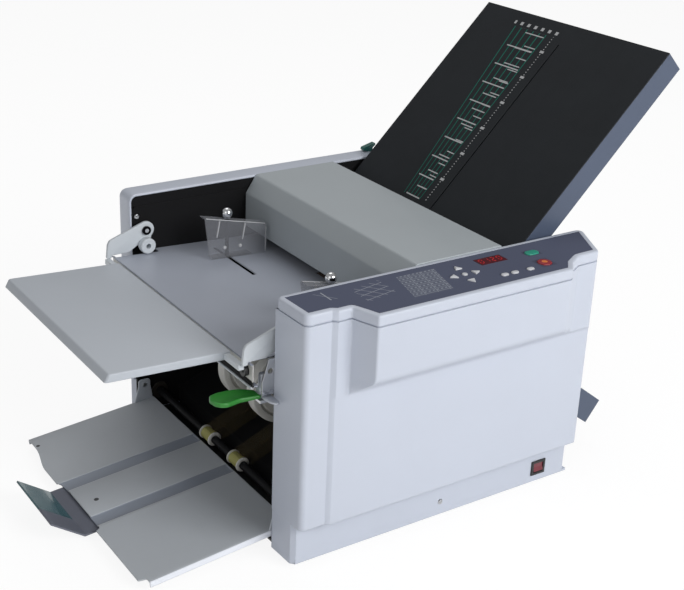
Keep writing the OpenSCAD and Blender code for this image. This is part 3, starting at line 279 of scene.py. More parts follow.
def shell(grid, thick, inside):
    """Closed sheet of a grid of points: the grid, its copy moved by thick against its normals, and the rims.

    The normal at each point is the cross product of the grid's two gradients, turned away from `inside`.
    """
    normal = np.cross(np.gradient(grid, axis=0), np.gradient(grid, axis=1))
    normal /= np.maximum(np.linalg.norm(normal, axis=2, keepdims=True), 1e-9)
    if ((grid - np.asarray(inside, float)) * normal).sum() < 0:
        normal = -normal
    rows, cols = grid.shape[:2]
    n = rows * cols
    points = np.concatenate([grid.reshape(-1, 3), (grid - normal * thick).reshape(-1, 3)])
    outer = grid_faces(rows, cols)
    at = np.arange(n).reshape(rows, cols)
    rim = np.concatenate([at[0, :], at[1:, -1], at[-1, -2::-1], at[-2:0:-1, 0]])
    after = np.roll(rim, -1)
    sides = np.stack([rim, after, after + n, rim + n], 1)
    return points, outer.tolist() + (outer[:, ::-1] + n).tolist() + sides.tolist()


def swept(path, y0, y1, cols=2):
    """Grid of a path in the x-z plane run along y from y0 to y1."""
    path = np.asarray(path, float)
    y = np.linspace(y0, y1, cols)
    return np.stack([np.repeat(path[:, :1], cols, 1), np.repeat(y[None], len(path), 0),
                     np.repeat(path[:, 1:], cols, 1)], 2)


def turned(profile, centre, axis, steps=64):
    """Surface of a profile (radius, height) turned round an axis: x = r cos a, y = r sin a."""
    profile = np.asarray(profile, float)
    axis = np.asarray(axis, float) / np.linalg.norm(axis)
    side = np.cross(axis, [0.0, 0.0, 1.0] if abs(axis[2]) < 0.9 else [1.0, 0.0, 0.0])
    side /= np.linalg.norm(side)
    other = np.cross(axis, side)
    a = np.linspace(0, 2 * math.pi, steps, endpoint=False)
    ring = np.cos(a)[:, None] * side + np.sin(a)[:, None] * other
    points = np.asarray(centre) + profile[:, None, 0:1] * ring[None] + profile[:, None, 1:2] * axis
    faces = grid_faces(len(profile), steps, wrap=True).tolist()
    n = len(profile) * steps
    if np.hypot(*(profile[0] - profile[-1])) < 1e-6:
        return points.reshape(-1, 3), faces
    return points.reshape(-1, 3), faces + [list(range(steps)), list(range(n - steps, n))]


def joined(*parts):
    """Several point and face sets as one."""
    points, faces, base = [], [], 0
    for p, f in parts:
        points.append(np.asarray(p))
        faces += [[int(i) + base for i in face] for face in f]
        base += len(p)
    return np.concatenate(points), faces


def on_xz(a, b, h):
    """Places an outline in the x-z plane with its height along y."""
    return np.stack([a, h, b], 1)


def on_xy(a, b, h):
    """Places an outline in plan with its height along z."""
    return np.stack([a, b, h], 1)


# ---------------------------------------------------------------- shader groups
def new_group(name, ins, outs):
    """A shader group with named sockets; ins and outs are (name, kind, default)."""
    group = bpy.data.node_groups.new(name, "ShaderNodeTree")
    for label, kind, default in ins:
        socket = group.interface.new_socket(label, in_out="INPUT", socket_type=kind)
        socket.default_value = default
    for label, kind in outs:
        group.interface.new_socket(label, in_out="OUTPUT", socket_type=kind)
    return group, group.nodes.new("NodeGroupInput"), group.nodes.new("NodeGroupOutput")


def math_node(tree, operation, a, b=None, clamp=False):
    """A Math node; a and b are sockets or numbers."""
    node = tree.nodes.new("ShaderNodeMath")
    node.operation = operation
    node.use_clamp = clamp
    for k, value in enumerate((a, b)):
        if value is None:
            continue
        if hasattr(value, "is_output"):
            tree.links.new(value, node.inputs[k])
        else:
            node.inputs[k].default_value = value
    return node.outputs[0]


def mix_colour(tree, factor, a, b, blend="MIX"):
    """A colour mix; each of factor, a and b is a socket or a value."""
    node = tree.nodes.new("ShaderNodeMix")
    node.data_type = "RGBA"
    node.blend_type = blend
    for key, value in ((0, factor), (6, a), (7, b)):
        if hasattr(value, "is_output"):
            tree.links.new(value, node.inputs[key])
        else:
            node.inputs[key].default_value = value if key == 0 else (*value[:3], 1.0)
    return node.outputs[2]


def make_grain_group():
    """Moulded or painted surface: a fine grain height and a slow mottling mask."""
    group, gin, gout = new_group(
        "Surface grain",
        [("Vector", "NodeSocketVector", (0, 0, 0)), ("Grain scale", "NodeSocketFloat", 900.0),
         ("Mottle scale", "NodeSocketFloat", 14.0)],
        [("Grain", "NodeSocketFloat"), ("Mottle", "NodeSocketFloat")])
    fine = group.nodes.new("ShaderNodeTexNoise")
    fine.inputs["Detail"].default_value = 3.0
    slow = group.nodes.new("ShaderNodeTexNoise")
    slow.inputs["Detail"].default_value = 5.0
    slow.inputs["Roughness"].default_value = 0.6
    for node, scale in ((fine, "Grain scale"), (slow, "Mottle scale")):
        group.links.new(gin.outputs["Vector"], node.inputs["Vector"])
        group.links.new(gin.outputs[scale], node.inputs["Scale"])
    group.links.new(fine.outputs["Fac"], gout.inputs["Grain"])
    group.links.new(slow.outputs["Fac"], gout.inputs["Mottle"])
    return group


def make_worn_and_lit_edges_group():
    """Rubbed edges, painted edge highlights and settled dust.

    Edge is how far the bevelled normal leaves the true one; Dust grows on faces that look up
    and is broken up by noise.
    """
    group, gin, gout = new_group(
        "Worn and lit edges, and dust",
        [("Vector", "NodeSocketVector", (0, 0, 0)), ("Edge width", "NodeSocketFloat", 0.0012),
         ("Dust", "NodeSocketFloat", 0.3)],
        [("Edge", "NodeSocketFloat"), ("Dust", "NodeSocketFloat"), ("Normal", "NodeSocketVector")])
    geometry = group.nodes.new("ShaderNodeNewGeometry")
    bevel = group.nodes.new("ShaderNodeBevel")
    bevel.samples = 4
    group.links.new(gin.outputs["Edge width"], bevel.inputs["Radius"])
    dot = group.nodes.new("ShaderNodeVectorMath")
    dot.operation = "DOT_PRODUCT"
    group.links.new(bevel.outputs["Normal"], dot.inputs[0])
    group.links.new(geometry.outputs["Normal"], dot.inputs[1])
    turn = math_node(group, "SUBTRACT", 1.0, dot.outputs["Value"], clamp=True)
    noise = group.nodes.new("ShaderNodeTexNoise")
    noise.inputs["Scale"].default_value = 60.0
    noise.inputs["Detail"].default_value = 4.0
    group.links.new(gin.outputs["Vector"], noise.inputs["Vector"])
    broken = math_node(group, "MULTIPLY", turn, math_node(group, "MULTIPLY", noise.outputs["Fac"], 7.0),
                       clamp=True)
    group.links.new(broken, gout.inputs["Edge"])
    parts = group.nodes.new("ShaderNodeSeparateXYZ")
    group.links.new(geometry.outputs["Normal"], parts.inputs[0])
    up = math_node(group, "MAXIMUM", parts.outputs["Z"], 0.0)
    settled = math_node(group, "MULTIPLY", math_node(group, "MULTIPLY", up, noise.outputs["Fac"]),
                        gin.outputs["Dust"])
    group.links.new(settled, gout.inputs["Dust"])
    group.links.new(bevel.outputs["Normal"], gout.inputs["Normal"])
    return group


def make_line_group():
    """Mask of a band: 1 where |value - middle| is below half the width, with a soft rim."""
    group, gin, gout = new_group(
        "Printed band",
        [("Value", "NodeSocketFloat", 0.0), ("Middle", "NodeSocketFloat", 0.0),
         ("Width", "NodeSocketFloat", 0.001)],
        [("Mask", "NodeSocketFloat")])
    away = math_node(group, "ABSOLUTE", math_node(group, "SUBTRACT", gin.outputs["Value"],
                                                  gin.outputs["Middle"]))
    half = math_node(group, "MULTIPLY", gin.outputs["Width"], 0.5)
    inside = math_node(group, "SUBTRACT", half, away)
    group.links.new(math_node(group, "MULTIPLY", inside, 12000.0, clamp=True), gout.inputs["Mask"])
    return group


GROUPS = {}


def shared(name):
    """The shared shader group of that name, built at first use."""
    makers = {"grain": make_grain_group, "worn_and_lit_edges": make_worn_and_lit_edges_group, "band": make_line_group}
    if name not in GROUPS:
        GROUPS[name] = makers[name]()
    return GROUPS[name]


def surface(name, colour, rough=0.45, metal=0.0, grain=900.0, bump=0.02, mottle=0.06, edge=0.12,
            rubbed_and_lit_edge_colour=None, dust=0.15, edge_width=0.0012, coat=0.0, specular=0.5, alpha=1.0,
            rough_spread=0.12):
    """A finish: mottled base colour, lightened edges (rubbed wear, and a painted highlight where the edge
    weight is large), dust on top, fine bump, edges rounded by a bevel.
    """
    material = bpy.data.materials.new(name)
    material.use_nodes = True
    tree = material.node_tree
    shader = tree.nodes["Principled BSDF"]
    where = tree.nodes.new("ShaderNodeTexCoord").outputs["Object"]
    g = tree.nodes.new("ShaderNodeGroup")
    g.node_tree = shared("grain")
    g.inputs["Grain scale"].default_value = grain
    w = tree.nodes.new("ShaderNodeGroup")
    w.node_tree = shared("worn_and_lit_edges")
    w.inputs["Edge width"].default_value = edge_width
    w.inputs["Dust"].default_value = dust
    tree.links.new(where, g.inputs["Vector"])
    tree.links.new(where, w.inputs["Vector"])
    dark = [c * (1 - mottle) for c in colour]
    light = [min(1.0, c * (1 + mottle)) for c in colour]
    base = mix_colour(tree, g.outputs["Mottle"], dark, light)
    # Lightened edges: rubbed wear at small edge weights, a painted highlight at large ones (green grip, clear
    # guides).
    bright = rubbed_and_lit_edge_colour or [min(1.0, c * 1.25 + 0.05) for c in colour]
    base = mix_colour(tree, math_node(tree, "MULTIPLY", w.outputs["Edge"], edge), base, bright)
    base = mix_colour(tree, w.outputs["Dust"], base, (0.50, 0.50, 0.49))
    tree.links.new(base, shader.inputs["Base Color"])
    spread = math_node(tree, "MULTIPLY", math_node(tree, "SUBTRACT", g.outputs["Mottle"], 0.5), rough_spread)
    tree.links.new(math_node(tree, "ADD", spread, rough, clamp=True), shader.inputs["Roughness"])
    shader.inputs["Metallic"].default_value = metal
    shader.inputs["Specular IOR Level"].default_value = specular
    shader.inputs["Coat Weight"].default_value = coat
    shader.inputs["Alpha"].default_value = alpha
    height = tree.nodes.new("ShaderNodeBump")
    height.inputs["Strength"].default_value = bump
    height.inputs["Distance"].default_value = 0.0004
    tree.links.new(g.outputs["Grain"], height.inputs["Height"])
    tree.links.new(w.outputs["Normal"], height.inputs["Normal"])
    tree.links.new(height.outputs["Normal"], shader.inputs["Normal"])
    return material


def local_axes(material, origin, u, v):
    """Sockets of the distances in metres along two unit vectors from a point of the shared frame."""
    tree = material.node_tree
    where = tree.nodes.new("ShaderNodeTexCoord").outputs["Object"]
    shift = tree.nodes.new("ShaderNodeVectorMath")
    shift.operation = "SUBTRACT"
    tree.links.new(where, shift.inputs[0])
    shift.inputs[1].default_value = tuple(origin)
    out = []
    for direction in (u, v):
        dot = tree.nodes.new("ShaderNodeVectorMath")
        dot.operation = "DOT_PRODUCT"
        tree.links.new(shift.outputs[0], dot.inputs[0])
        dot.inputs[1].default_value = tuple(direction)
        out.append(dot.outputs["Value"])
    return out


def band(material, value, middle, width):
    """Mask of a printed band at a distance, in metres."""
    tree = material.node_tree
    node = tree.nodes.new("ShaderNodeGroup")
    node.node_tree = shared("band")
    tree.links.new(value, node.inputs["Value"])
    node.inputs["Middle"].default_value = middle
    node.inputs["Width"].default_value = width
    return node.outputs["Mask"]


def ticks_mask(material, value, pitch, width):
    """Mask of lines at every multiple of the pitch: the value's distance to the nearest one is near 0."""
    tree = material.node_tree
    rest = math_node(tree, "PINGPONG", value, pitch / 2)
    return band(material, rest, 0.0, width)


# ---------------------------------------------------------------- finishes
def make_finishes():
    """Every finish of the machine, by the record's slot where one carries it."""
    c = bpy.context.scene.folder_colours
    m = {}
    m["cover_white"] = surface("Moulded cover", c.cover, rough=0.42, grain=1400, bump=0.05, mottle=0.025,
                               dust=0.03, coat=0.08)
    m["tub_white"] = surface("Moulded base", c.tub, rough=0.5, grain=1200, bump=0.06, mottle=0.04, dust=0.05)
    m["frame_black"] = surface("Black frame paint", (0.008, 0.008, 0.009), rough=0.75, specular=0.15,
                               grain=1500, bump=0.2, mottle=0.3, edge=0.2, dust=0.0)
    m["bright_steel"] = surface("Bright steel", (0.55, 0.56, 0.58), rough=0.28, metal=1.0, grain=2500,
                                bump=0.02, mottle=0.08, dust=0.02)
    m["plate_steel"] = surface("Blue-grey enamel", (0.40, 0.43, 0.50), rough=0.4, grain=900, bump=0.04,
                               mottle=0.05, dust=0.02)
    m["panel_slate"] = surface("Panel film", c.slate, rough=0.55, specular=0.12, grain=2600, bump=0.05,
                               mottle=0.05, edge=0.0, dust=0.0, edge_width=0.0001)
    m["display_dark"] = surface("Display window", (0.085, 0.006, 0.012), rough=0.3, grain=300, bump=0.0,
                                mottle=0.1, dust=0.0, specular=0.2, edge=0.0)
    m["black_plastic"] = surface("Black plastic", (0.012, 0.012, 0.014), rough=0.4, grain=1800, bump=0.08,
                                 mottle=0.15, dust=0.02)
    m["rocker_red"] = surface("Red rocker", (0.16, 0.008, 0.022), rough=0.3, mottle=0.05, coat=0.4, dust=0.0)
    m["pad_brown"] = surface("Friction pad", (0.11, 0.07, 0.05), rough=0.85, grain=2200, bump=0.4, mottle=0.2)
    m["foot_rubber"] = surface("Foot rubber", (0.02, 0.02, 0.02), rough=0.8, grain=1500, bump=0.3,
                               mottle=0.15)
    m["bush_bronze"] = surface("Sintered bronze", (0.03, 0.026, 0.022), rough=0.6, specular=0.2, grain=3000,
                               bump=0.15, mottle=0.15)
    m["motor_grey"] = surface("Motor paint", (0.06, 0.065, 0.07), rough=0.5, grain=1000, bump=0.1)
    # Dark brown: the amber belt darkened as painted shade along its run.
    m["belt_amber"] = surface("Amber belt", (0.12, 0.09, 0.04), rough=0.4, grain=1600, bump=0.1, mottle=0.2,
                              dust=0.0, specular=0.2, alpha=0.16, edge=0.1)
    m["table_white"] = surface("Table enamel", c.table, rough=0.42, grain=1200, bump=0.05, mottle=0.03,
                               dust=0.03)
    # Near-white rim colour: a painted highlight along the clear guides' edges.
    m["clear_smoke"] = surface("Smoked acrylic", (0.30, 0.31, 0.34), rough=0.1, grain=300, bump=0.0,
                               mottle=0.05, dust=0.0, alpha=0.32, edge=0.9, rubbed_and_lit_edge_colour=(0.75, 0.75, 0.78),
                               specular=0.3)
    m["chrome"] = surface("Polished chrome", (0.80, 0.81, 0.83), rough=0.07, metal=1.0, grain=1500, bump=0.0,
                          mottle=0.03, dust=0.0, rough_spread=0.04)
    # Bright green rim colour: a painted highlight along the grip's edges.
    m["lever_green"] = surface("Green grip", (0.016, 0.20, 0.016), rough=0.4, mottle=0.08, coat=0.15,
                               dust=0.0, edge=1.0, edge_width=0.0022, rubbed_and_lit_edge_colour=(0.09, 0.55, 0.12))
    m["roller_grey"] = surface("Roller rubber", (0.035, 0.035, 0.04), rough=0.6, grain=2000, bump=0.2,
                               mottle=0.15)
    m["gear_cream"] = surface("Cream plastic", c.cream, rough=0.45, grain=1600, bump=0.06, mottle=0.06,
                              dust=0.03)
    m["hump_grey"] = surface("Grey-green enamel", c.hump, rough=0.38, grain=1300, bump=0.04, mottle=0.04,
                             dust=0.03, coat=0.1)
    m["face_black"] = surface("Textured face", c.face, rough=0.6, specular=0.15, grain=2600, bump=0.5,
                              mottle=0.25, dust=0.01, edge=0.3)
    m["case_blue"] = surface("Plate case enamel", c.case, rough=0.42, grain=1200, bump=0.05, mottle=0.06,
                             dust=0.02)
    m["stop_steel"] = surface("Plated stop", (0.45, 0.46, 0.48), rough=0.35, metal=1.0, grain=2000, bump=0.05)
    m["release_green"] = surface("Teal catch", (0.010, 0.13, 0.11), rough=0.35, mottle=0.08, coat=0.3,
                                 dust=0.01)
    # Dark bluish grey for the tray's end stop: painted shade under the tray.
    m["tray_stop_shade"] = surface("Tray stop in painted shade", (0.15, 0.16, 0.20), rough=0.5, grain=1500, bump=0.08, mottle=0.08,
                             dust=0.0)
    m["tray_grey"] = surface("Tray enamel", c.tray, rough=0.42, grain=1500, bump=0.08, mottle=0.05, dust=0.02)
    m["flap_teal"] = surface("Teal flap", (0.030, 0.115, 0.135), rough=0.25, grain=500, bump=0.05,
                             mottle=0.15, dust=0.02, coat=0.3)
    m["arm_white"] = surface("White enamel", (0.60, 0.64, 0.68), rough=0.42, grain=1200, bump=0.05,
                             mottle=0.03, dust=0.02)
    # Bright yellow: the belt's own yellowish tint where it wraps the pulleys, brightened as painted light.
    m["sleeve_yellow"] = surface("Belt wrap in painted light", (0.62, 0.60, 0.20), rough=0.5, grain=1800, bump=0.1,
                                 mottle=0.1, dust=0.0)
    m["zinc"] = surface("Zinc plate", (0.50, 0.53, 0.59), rough=0.4, metal=0.45, grain=2200, bump=0.05,
                        mottle=0.10, dust=0.0)
    # Pale strips on the clear guides: painted highlights on their edges.
    m["edge_lit"] = surface("Painted highlight on the guide edges", (0.55, 0.56, 0.58), rough=0.3, grain=800, mottle=0.04,
                            dust=0.0)
    m["dark_steel"] = surface("Dark axle", (0.006, 0.006, 0.007), rough=0.5, specular=0.2, grain=2500,
                              bump=0.03, edge=0.1, dust=0.0)
    m["lit_red"] = glowing("Lit segment", (0.50, 0.016, 0.022), 0.28)
    m["key_pale"] = surface("Pale key", (0.62, 0.63, 0.66), rough=0.4, mottle=0.03, dust=0.0)
    m["start_green"] = surface("Green key", (0.02, 0.30, 0.21), rough=0.35, mottle=0.05, dust=0.0)
    m["stop_red"] = surface("Red key", (0.30, 0.02, 0.03), rough=0.35, mottle=0.05, dust=0.0)
    return m


FINISH = {}
WHITE_INK, GREEN_INK = (0.52, 0.53, 0.54), (0.010, 0.18, 0.13)


def product(material, *masks):
    """Where all the masks are 1."""
    out = masks[0]
    for mask in masks[1:]:
        out = math_node(material.node_tree, "MULTIPLY", out, mask)
    return out


def ink(material, colour, *masks):
    """Prints a colour over a finish where all the masks are 1."""
    tree = material.node_tree
    base = tree.nodes["Principled BSDF"].inputs["Base Color"]
    under = base.links[0].from_socket
    tree.links.new(mix_colour(tree, product(material, *masks), under, colour), base)


def spot(material, u, v, size, ring=0.0):
    """Mask of a round spot of that size, or of a ring of that width at the radius `ring`."""
    tree = material.node_tree
    squares = math_node(tree, "ADD", math_node(tree, "MULTIPLY", u, u), math_node(tree, "MULTIPLY", v, v))
    return band(material, math_node(tree, "SQRT", squares), ring, size)


def scaled(material, value, factor, offset=0.0):
    """value * factor + offset."""
    tree = material.node_tree
    return math_node(tree, "ADD", math_node(tree, "MULTIPLY", value, factor), offset)


def print_plate_scale(material):
    """Ruler dots beside the slot, green lines along the plate, white bars across them and marks at the end."""
    angle = math.radians(PLATE1_ANGLE)
    along, across = local_axes(material, row([[332, 0, 296.5]])[0], (math.cos(angle), 0, math.sin(angle)),
                               (0, 1, 0))
    length = band(material, along, 0.141, 0.272)
    # the field of lines widens up the plate; share runs from 0 at the ruler to 1 at its far edge
    tree = material.node_tree
    reach = scaled(material, along, 0.124, 0.037)
    share = math_node(tree, "DIVIDE", math_node(tree, "SUBTRACT", across, 0.198), reach)
    field = band(material, share, 0.5, 1.0)
    lines = ticks_mask(material, scaled(material, share, 0.06, -0.005), 0.0102,
                       bpy.context.scene.folder_sizes.rule_line)
    ink(material, GREEN_INK, lines, field, length)
    full = ticks_mask(material, scaled(material, along, 1.0, -0.006), 0.0302, 0.0018)
    half = ticks_mask(material, scaled(material, along, 1.0, -0.021), 0.0251, 0.0016)
    short = ticks_mask(material, scaled(material, along, 1.0, -0.002), 0.0193, 0.0015)
    for bars, middle, width in ((full, 0.47, 0.72), (half, 0.36, 0.46), (short, 0.24, 0.30)):
        ink(material, WHITE_INK, bars, band(material, share, middle, width), length)
    dots = ticks_mask(material, along, 0.0042, 0.0014)
    ink(material, WHITE_INK, dots, band(material, across, 0.190, 0.0016), length)
    marks = ticks_mask(material, along, 0.042, 0.0036)
    ink(material, WHITE_INK, marks, band(material, across, 0.190, 0.007), length)
    heads = ticks_mask(material, across, 0.0135, 0.0052)
    ink(material, WHITE_INK, heads, band(material, along, 0.283, 0.0050), band(material, across, 0.226, 0.09))


def print_rail(material):
    """Cream face, a black band of painted shade in the recess, and pale lip of the rail at the front of the
    feed plate.
    """
    u, w = local_axes(material, row([[-24, 0, 0]])[0], (1, 0, 0), (0, 0, 1))
    front = band(material, u, 0.0, 0.009)
    ink(material, (0.56, 0.56, 0.54), front, band(material, w, 0.2275, 0.0205))
    # Black band: painted shade in the rail's recess.
    ink(material, (0.02, 0.02, 0.022), front, band(material, w, 0.2150, 0.0060))
    ink(material, (0.60, 0.61, 0.63), front, band(material, w, 0.2095, 0.0050))


def print_panel(material):
    """Prints of the panel: a pale table, a slanted grid, two small strokes and rings round two keys."""
    tree = material.node_tree
    u, v = local_axes(material, row([[0, 0, 0]])[0], (1, 0, 0), (0, 1, 0))
    lean = math_node(tree, "SUBTRACT", u, math_node(tree, "MULTIPLY", v, 0.262))
    table = product(material, band(material, lean, 0.1708, 0.0505), band(material, v, -0.0440, 0.0535))
    ink(material, (0.125, 0.140, 0.190), table)
    rows = ticks_mask(material, v, 0.0076, 0.0010)
    columns = ticks_mask(material, scaled(material, lean, 1.0, 0.002), 0.0162, 0.0010)
    for mask in (rows, columns):
        ink(material, (0.25, 0.27, 0.32), table, mask)
    marks = product(material, ticks_mask(material, scaled(material, v, 1.0, 0.0038), 0.0076, 0.0021),
                    ticks_mask(material, lean, 0.0054, 0.0026), table)
    ink(material, (0.30, 0.32, 0.37), marks)
    # slanted grid, and the two strokes in front of it
    slant = math_node(tree, "ADD", u, math_node(tree, "MULTIPLY", v, 0.8))
    cross = math_node(tree, "SUBTRACT", v, math_node(tree, "MULTIPLY", u, 0.22))
    area = product(material, band(material, u, 0.0995, 0.040), band(material, cross, -0.0575, 0.034))
    for mask in (ticks_mask(material, slant, 0.0132, 0.0011), ticks_mask(material, cross, 0.0118, 0.0010)):
        ink(material, (0.30, 0.32, 0.37), area, mask)
    small = band(material, v, -0.0245, 0.021)
    ink(material, (0.40, 0.42, 0.46), band(material, u, 0.0475, 0.0014), small)
    ink(material, (0.24, 0.26, 0.31), band(material, slant, 0.0270, 0.0013), small)
    # rings round the green and red keys
    for (x, y), width in ((START_KEY, 0.0142), (STOP_KEY, 0.0212)):
        ring = band(material, u, x / 1000, 0.0212), band(material, v, y / 1000, width)
        ink(material, (0.074, 0.080, 0.122), *ring)


def print_tray(material):
    """Bluish bands of painted shade along the two grooves, painted highlights on the edges beside them and on
    the rolled side edge, and two dark holes.
    """
    angle = math.radians(TRAY_TILT)
    along, across = local_axes(material, row([[TRAY_HINGE[0], 0, TRAY_HINGE[1]]])[0],
                               (math.cos(angle), 0, math.sin(angle)), (0, 1, 0))
    for y in GROOVE_YS:
        # Groove bands: painted shade; the pale line at each groove's edge is a painted highlight.
        ink(material, (0.30, 0.33, 0.39), band(material, across, y / 1000, GROOVE_W / 1000))
        ink(material, (0.66, 0.68, 0.71), band(material, across, (y - GROOVE_W / 2 - 0.8) / 1000, 0.0016))
    # Near-white line along the rolled near edge: a painted highlight.
    ink(material, (0.86, 0.89, 0.96), band(material, across, TRAY_Y[0] / 1000, 0.0024))
    for s, y, r in ((-0.156, 0.175, 0.003), (-0.168, 0.325, 0.0024)):
        hole = spot(material, scaled(material, along, 1.0, -s), scaled(material, across, 1.0, -y), 2 * r)
        ink(material, (0.05, 0.05, 0.055), hole)


def print_tub(material):
    """Black band painted over the tub between the two frames."""
    _, v = local_axes(material, row([[0, 0, 0]])[0], (1, 0, 0), (0, 1, 0))
    ink(material, (0.010, 0.010, 0.011), band(material, v, 0.175, 0.349))


def print_pivot(material):
    """Dark ring round the pivot screws of the table's arms."""
    u, w = local_axes(material, row([[PIVOT[0], 0, PIVOT[1]]])[0] * [1, 0, 1], (1, 0, 0), (0, 0, 1))
    ink(material, (0.008, 0.008, 0.01), spot(material, u, w, 0.0036, ring=0.0043))


def print_stop_key(material):
    """Orange middle of the red key."""
    u, v = local_axes(material, row([[*STOP_KEY, 0]])[0], (1, 0, 0), (0, 1, 0))
    ink(material, (0.75, 0.22, 0.05), spot(material, u, v, 0.0068))


def glowing(name, colour, level):
    """Lit segments of the display."""
    material = surface(name, colour, rough=0.3, mottle=0.1, dust=0.0)
    shader = material.node_tree.nodes["Principled BSDF"]
    shader.inputs["Emission Color"].default_value = (*colour, 1.0)
    shader.inputs["Emission Strength"].default_value = level
    return material


def dress_nodes():
    """Gives every CAD node the finish of its slot, and the tray's end stop a darker finish of painted shade,
    as it lies under the tray.
    """
    for part in frame["record"]["subparts"]:
        node = frame["nodes"][part["node"]]
        # The end stop takes the darker finish of painted shade.
        finish = "tray_stop_shade" if part["node"] == "tray_stop" else part["material_slot"]
        node.data.materials.clear()
        node.data.materials.append(FINISH[finish])


class FOLDER_OT_finishes(bpy.types.Operator):
    """Makes the finishes and gives each CAD node its own"""

    bl_idname = "folder.finishes"
    bl_label = "Finishes"

    def execute(self, context):
        FINISH.update(make_finishes())
        print_plate_scale(FINISH["face_black"])
        print_panel(FINISH["panel_slate"])
        print_rail(FINISH["plate_steel"])
        print_tray(FINISH["tray_grey"])
        print_stop_key(FINISH["stop_red"])
        print_pivot(FINISH["bright_steel"])
        print_tub(FINISH["tub_white"])
        dress_nodes()
        return {"FINISHED"}


# ---------------------------------------------------------------- pieces
def bulge_depth(z):
    """Greatest depth of the control housing at height z, with its corners eased over 5 mm."""
    z = np.asarray(z, float)
    ease = np.linspace(-2.5, 2.5, 7)
    heights = [SKIRT_Z, BULGE_FOOT_Z + 3, BULGE_Z, BULGE_Z + 4, CAP_Z]
    depths = [NEAR_D, NEAR_D, BULGE_D - 2, BULGE_D, BULGE_D]
    return np.mean([np.interp(z + e, heights, depths) for e in ease], 0)


def near_housing():
    """Moulded control housing.

    The plan outline, with rounded corners, is run up from the skirt to the cap. At height z its
    depth is the smaller of the outline's own and that of the bulge.
    """
    plan = np.concatenate([[(7.4, -0.25)], rounded(NEAR_CORNERS, NEAR_RADII, 8), [(404.8, -0.25)]])
    rim = [SKIRT_Z, SKIRT_Z + 0.4, SKIRT_Z + 2]
    z = np.concatenate([rim[:2], np.linspace(rim[2], 204, 8), np.linspace(207, 246, 27),
                        np.linspace(252, CAP_Z - 0.2, 6)])
    y = -np.minimum(-plan[None, :, 1], bulge_depth(z)[:, None])
    tuck = np.interp(z, rim, [0.6, 0.25, 0])[:, None]
    y = np.where(plan[None, :, 1] < -20, y + tuck, y)
    x = np.repeat(plan[None, :, 0], len(z), 0)
    grid = np.stack([x, y, np.repeat(z[:, None], len(plan), 1)], 2)
    points, faces = shell(grid, 2.8, (200, -20, 180))
    add_mesh("look_control_housing", points, faces, "base", "cover_white", "cover_white", smooth=40,
             node="near_cover")


def control_cap():
    """Cap of the control housing: a shadow groove, a rounded rim and a shallow seat for the film."""
    z0, z1 = CAP_Z, HOUSING_TOP
    levels = [(z0, 1.3), (z0 + 1.3, 1.3), (z0 + 1.4, 0.3), (z0 + 1.8, 0), (z1 - 2.6, 0), (z1 - 1.2, 0.35),
              (z1 - 0.4, 1.1), (z1, 2.2), (z1, 6.3), (z1 - 0.55, 6.4)]
    radii = NEAR_RADII + np.array([6.4] + [0] * 9 + [6.4])
    points, faces = stacked(NEAR_CORNERS, radii, levels, on_xy, steps=8)
    add_mesh("look_control_cap", points, faces, "base", "cover_white", "cover_white", node="control_cap")


def far_housing():
    """Plain housing: a rounded shell whose thin rim stands round a black wall; that wall, on the cover's inner
    side round the frame, is painted shade.
    """
    (x0, x1), z0, z1 = FAR_X, SKIRT_Z, HOUSING_TOP
    xa, xb, za = x0 + FAR_RIM, x1 - FAR_RIM, z1 - FAR_RIM
    front, rear, top = FAR_FRAME
    rim = [(x0, z0), (xa, z0), (xa, za), (xb, za), (xb, z0), (x1, z0), (x1, z1), (x0, z1)]
    wall = [(xa, z0), (front, z0), (front, top), (rear, top), (rear, z0), (xb, z0), (xb, za), (xa, za)]
    y = INNER_Y
    levels = [(y + 4.6, 0.3), (y + 4.9, 0), (y + 26, 0), (y + 28.6, 0.35), (y + 30.5, 1.3), (y + 31.6, 2.8),
              (y + 32, 5)]
    plate = stacked(oblong(x0, x1, z0, z1), [1, 1, 10, 10], levels, on_xz, steps=8)
    levels = [(y, 0.9), (y + 0.3, 0.3), (y + 0.9, 0), (y + 4.7, 0)]
    edge = stacked(rim, [0.3, 0.3, 7, 7, 0.3, 0.3, 10, 10], levels, on_xz, steps=8)
    add_mesh("look_far_housing", *joined(plate, edge), "base", "cover_white", "cover_white", node="far_cover")
    # Black band on the cover's inner side above and beside the frame: painted shade.
    inner = stacked(wall, [0.3] * 6 + [7, 7], [(y + 0.6, 0), (y + 4.5, 0)], on_xz, steps=8)
    add_mesh("look_far_inner_shade", *inner, "base", "frame_black", "frame_black", node="far_cover")


class FOLDER_OT_housings(bpy.types.Operator):
    """Builds the moulded housings and the cap"""

    bl_idname = "folder.housings"
    bl_label = "Housings"

    def execute(self, context):
        near_housing()
        control_cap()
        far_housing()
        return {"FINISHED"}


def mirrored(right):
    """A half section from its middle outwards, with its mirror image before it."""
    return [(r, -h) for r, h in right[:0:-1]] + right


def pin(radius, y0, y1, x, z, steps=32):
    """Round pin along y at (x, z) with 0.4 mm chamfers: its half section turned round that line."""
    profile = [(0.1, y0), (radius - 0.4, y0), (radius, y0 + 0.4), (radius, y1 - 0.4), (radius - 0.4, y1),
               (0.1, y1)]
    return turned(profile, (x, 0, z), (0, 1, 0), steps)


def wheel_profile():
    """Half section of a stacker wheel: crowned rim, ring groove in each face, web and hub."""
    w, r = WHEEL_W / 2, WHEEL_R
    right = [(r - 0.2, 0), (r - 0.4, w - 2.4), (r - 1.4, w - 0.8), (r - 3, w), (r - 8, w), (r - 9, w - 0.6),
             (r - 9.4, w - 3), (r - 11.6, w - 3), (r - 12, w - 0.6), (r - 13, w), (17, w), (15.5, w + 0.6),
             (13, w + 5.4), (12, w + 6), (5.4, w + 6), (5.1, w + 5.7)]
    return mirrored(right)


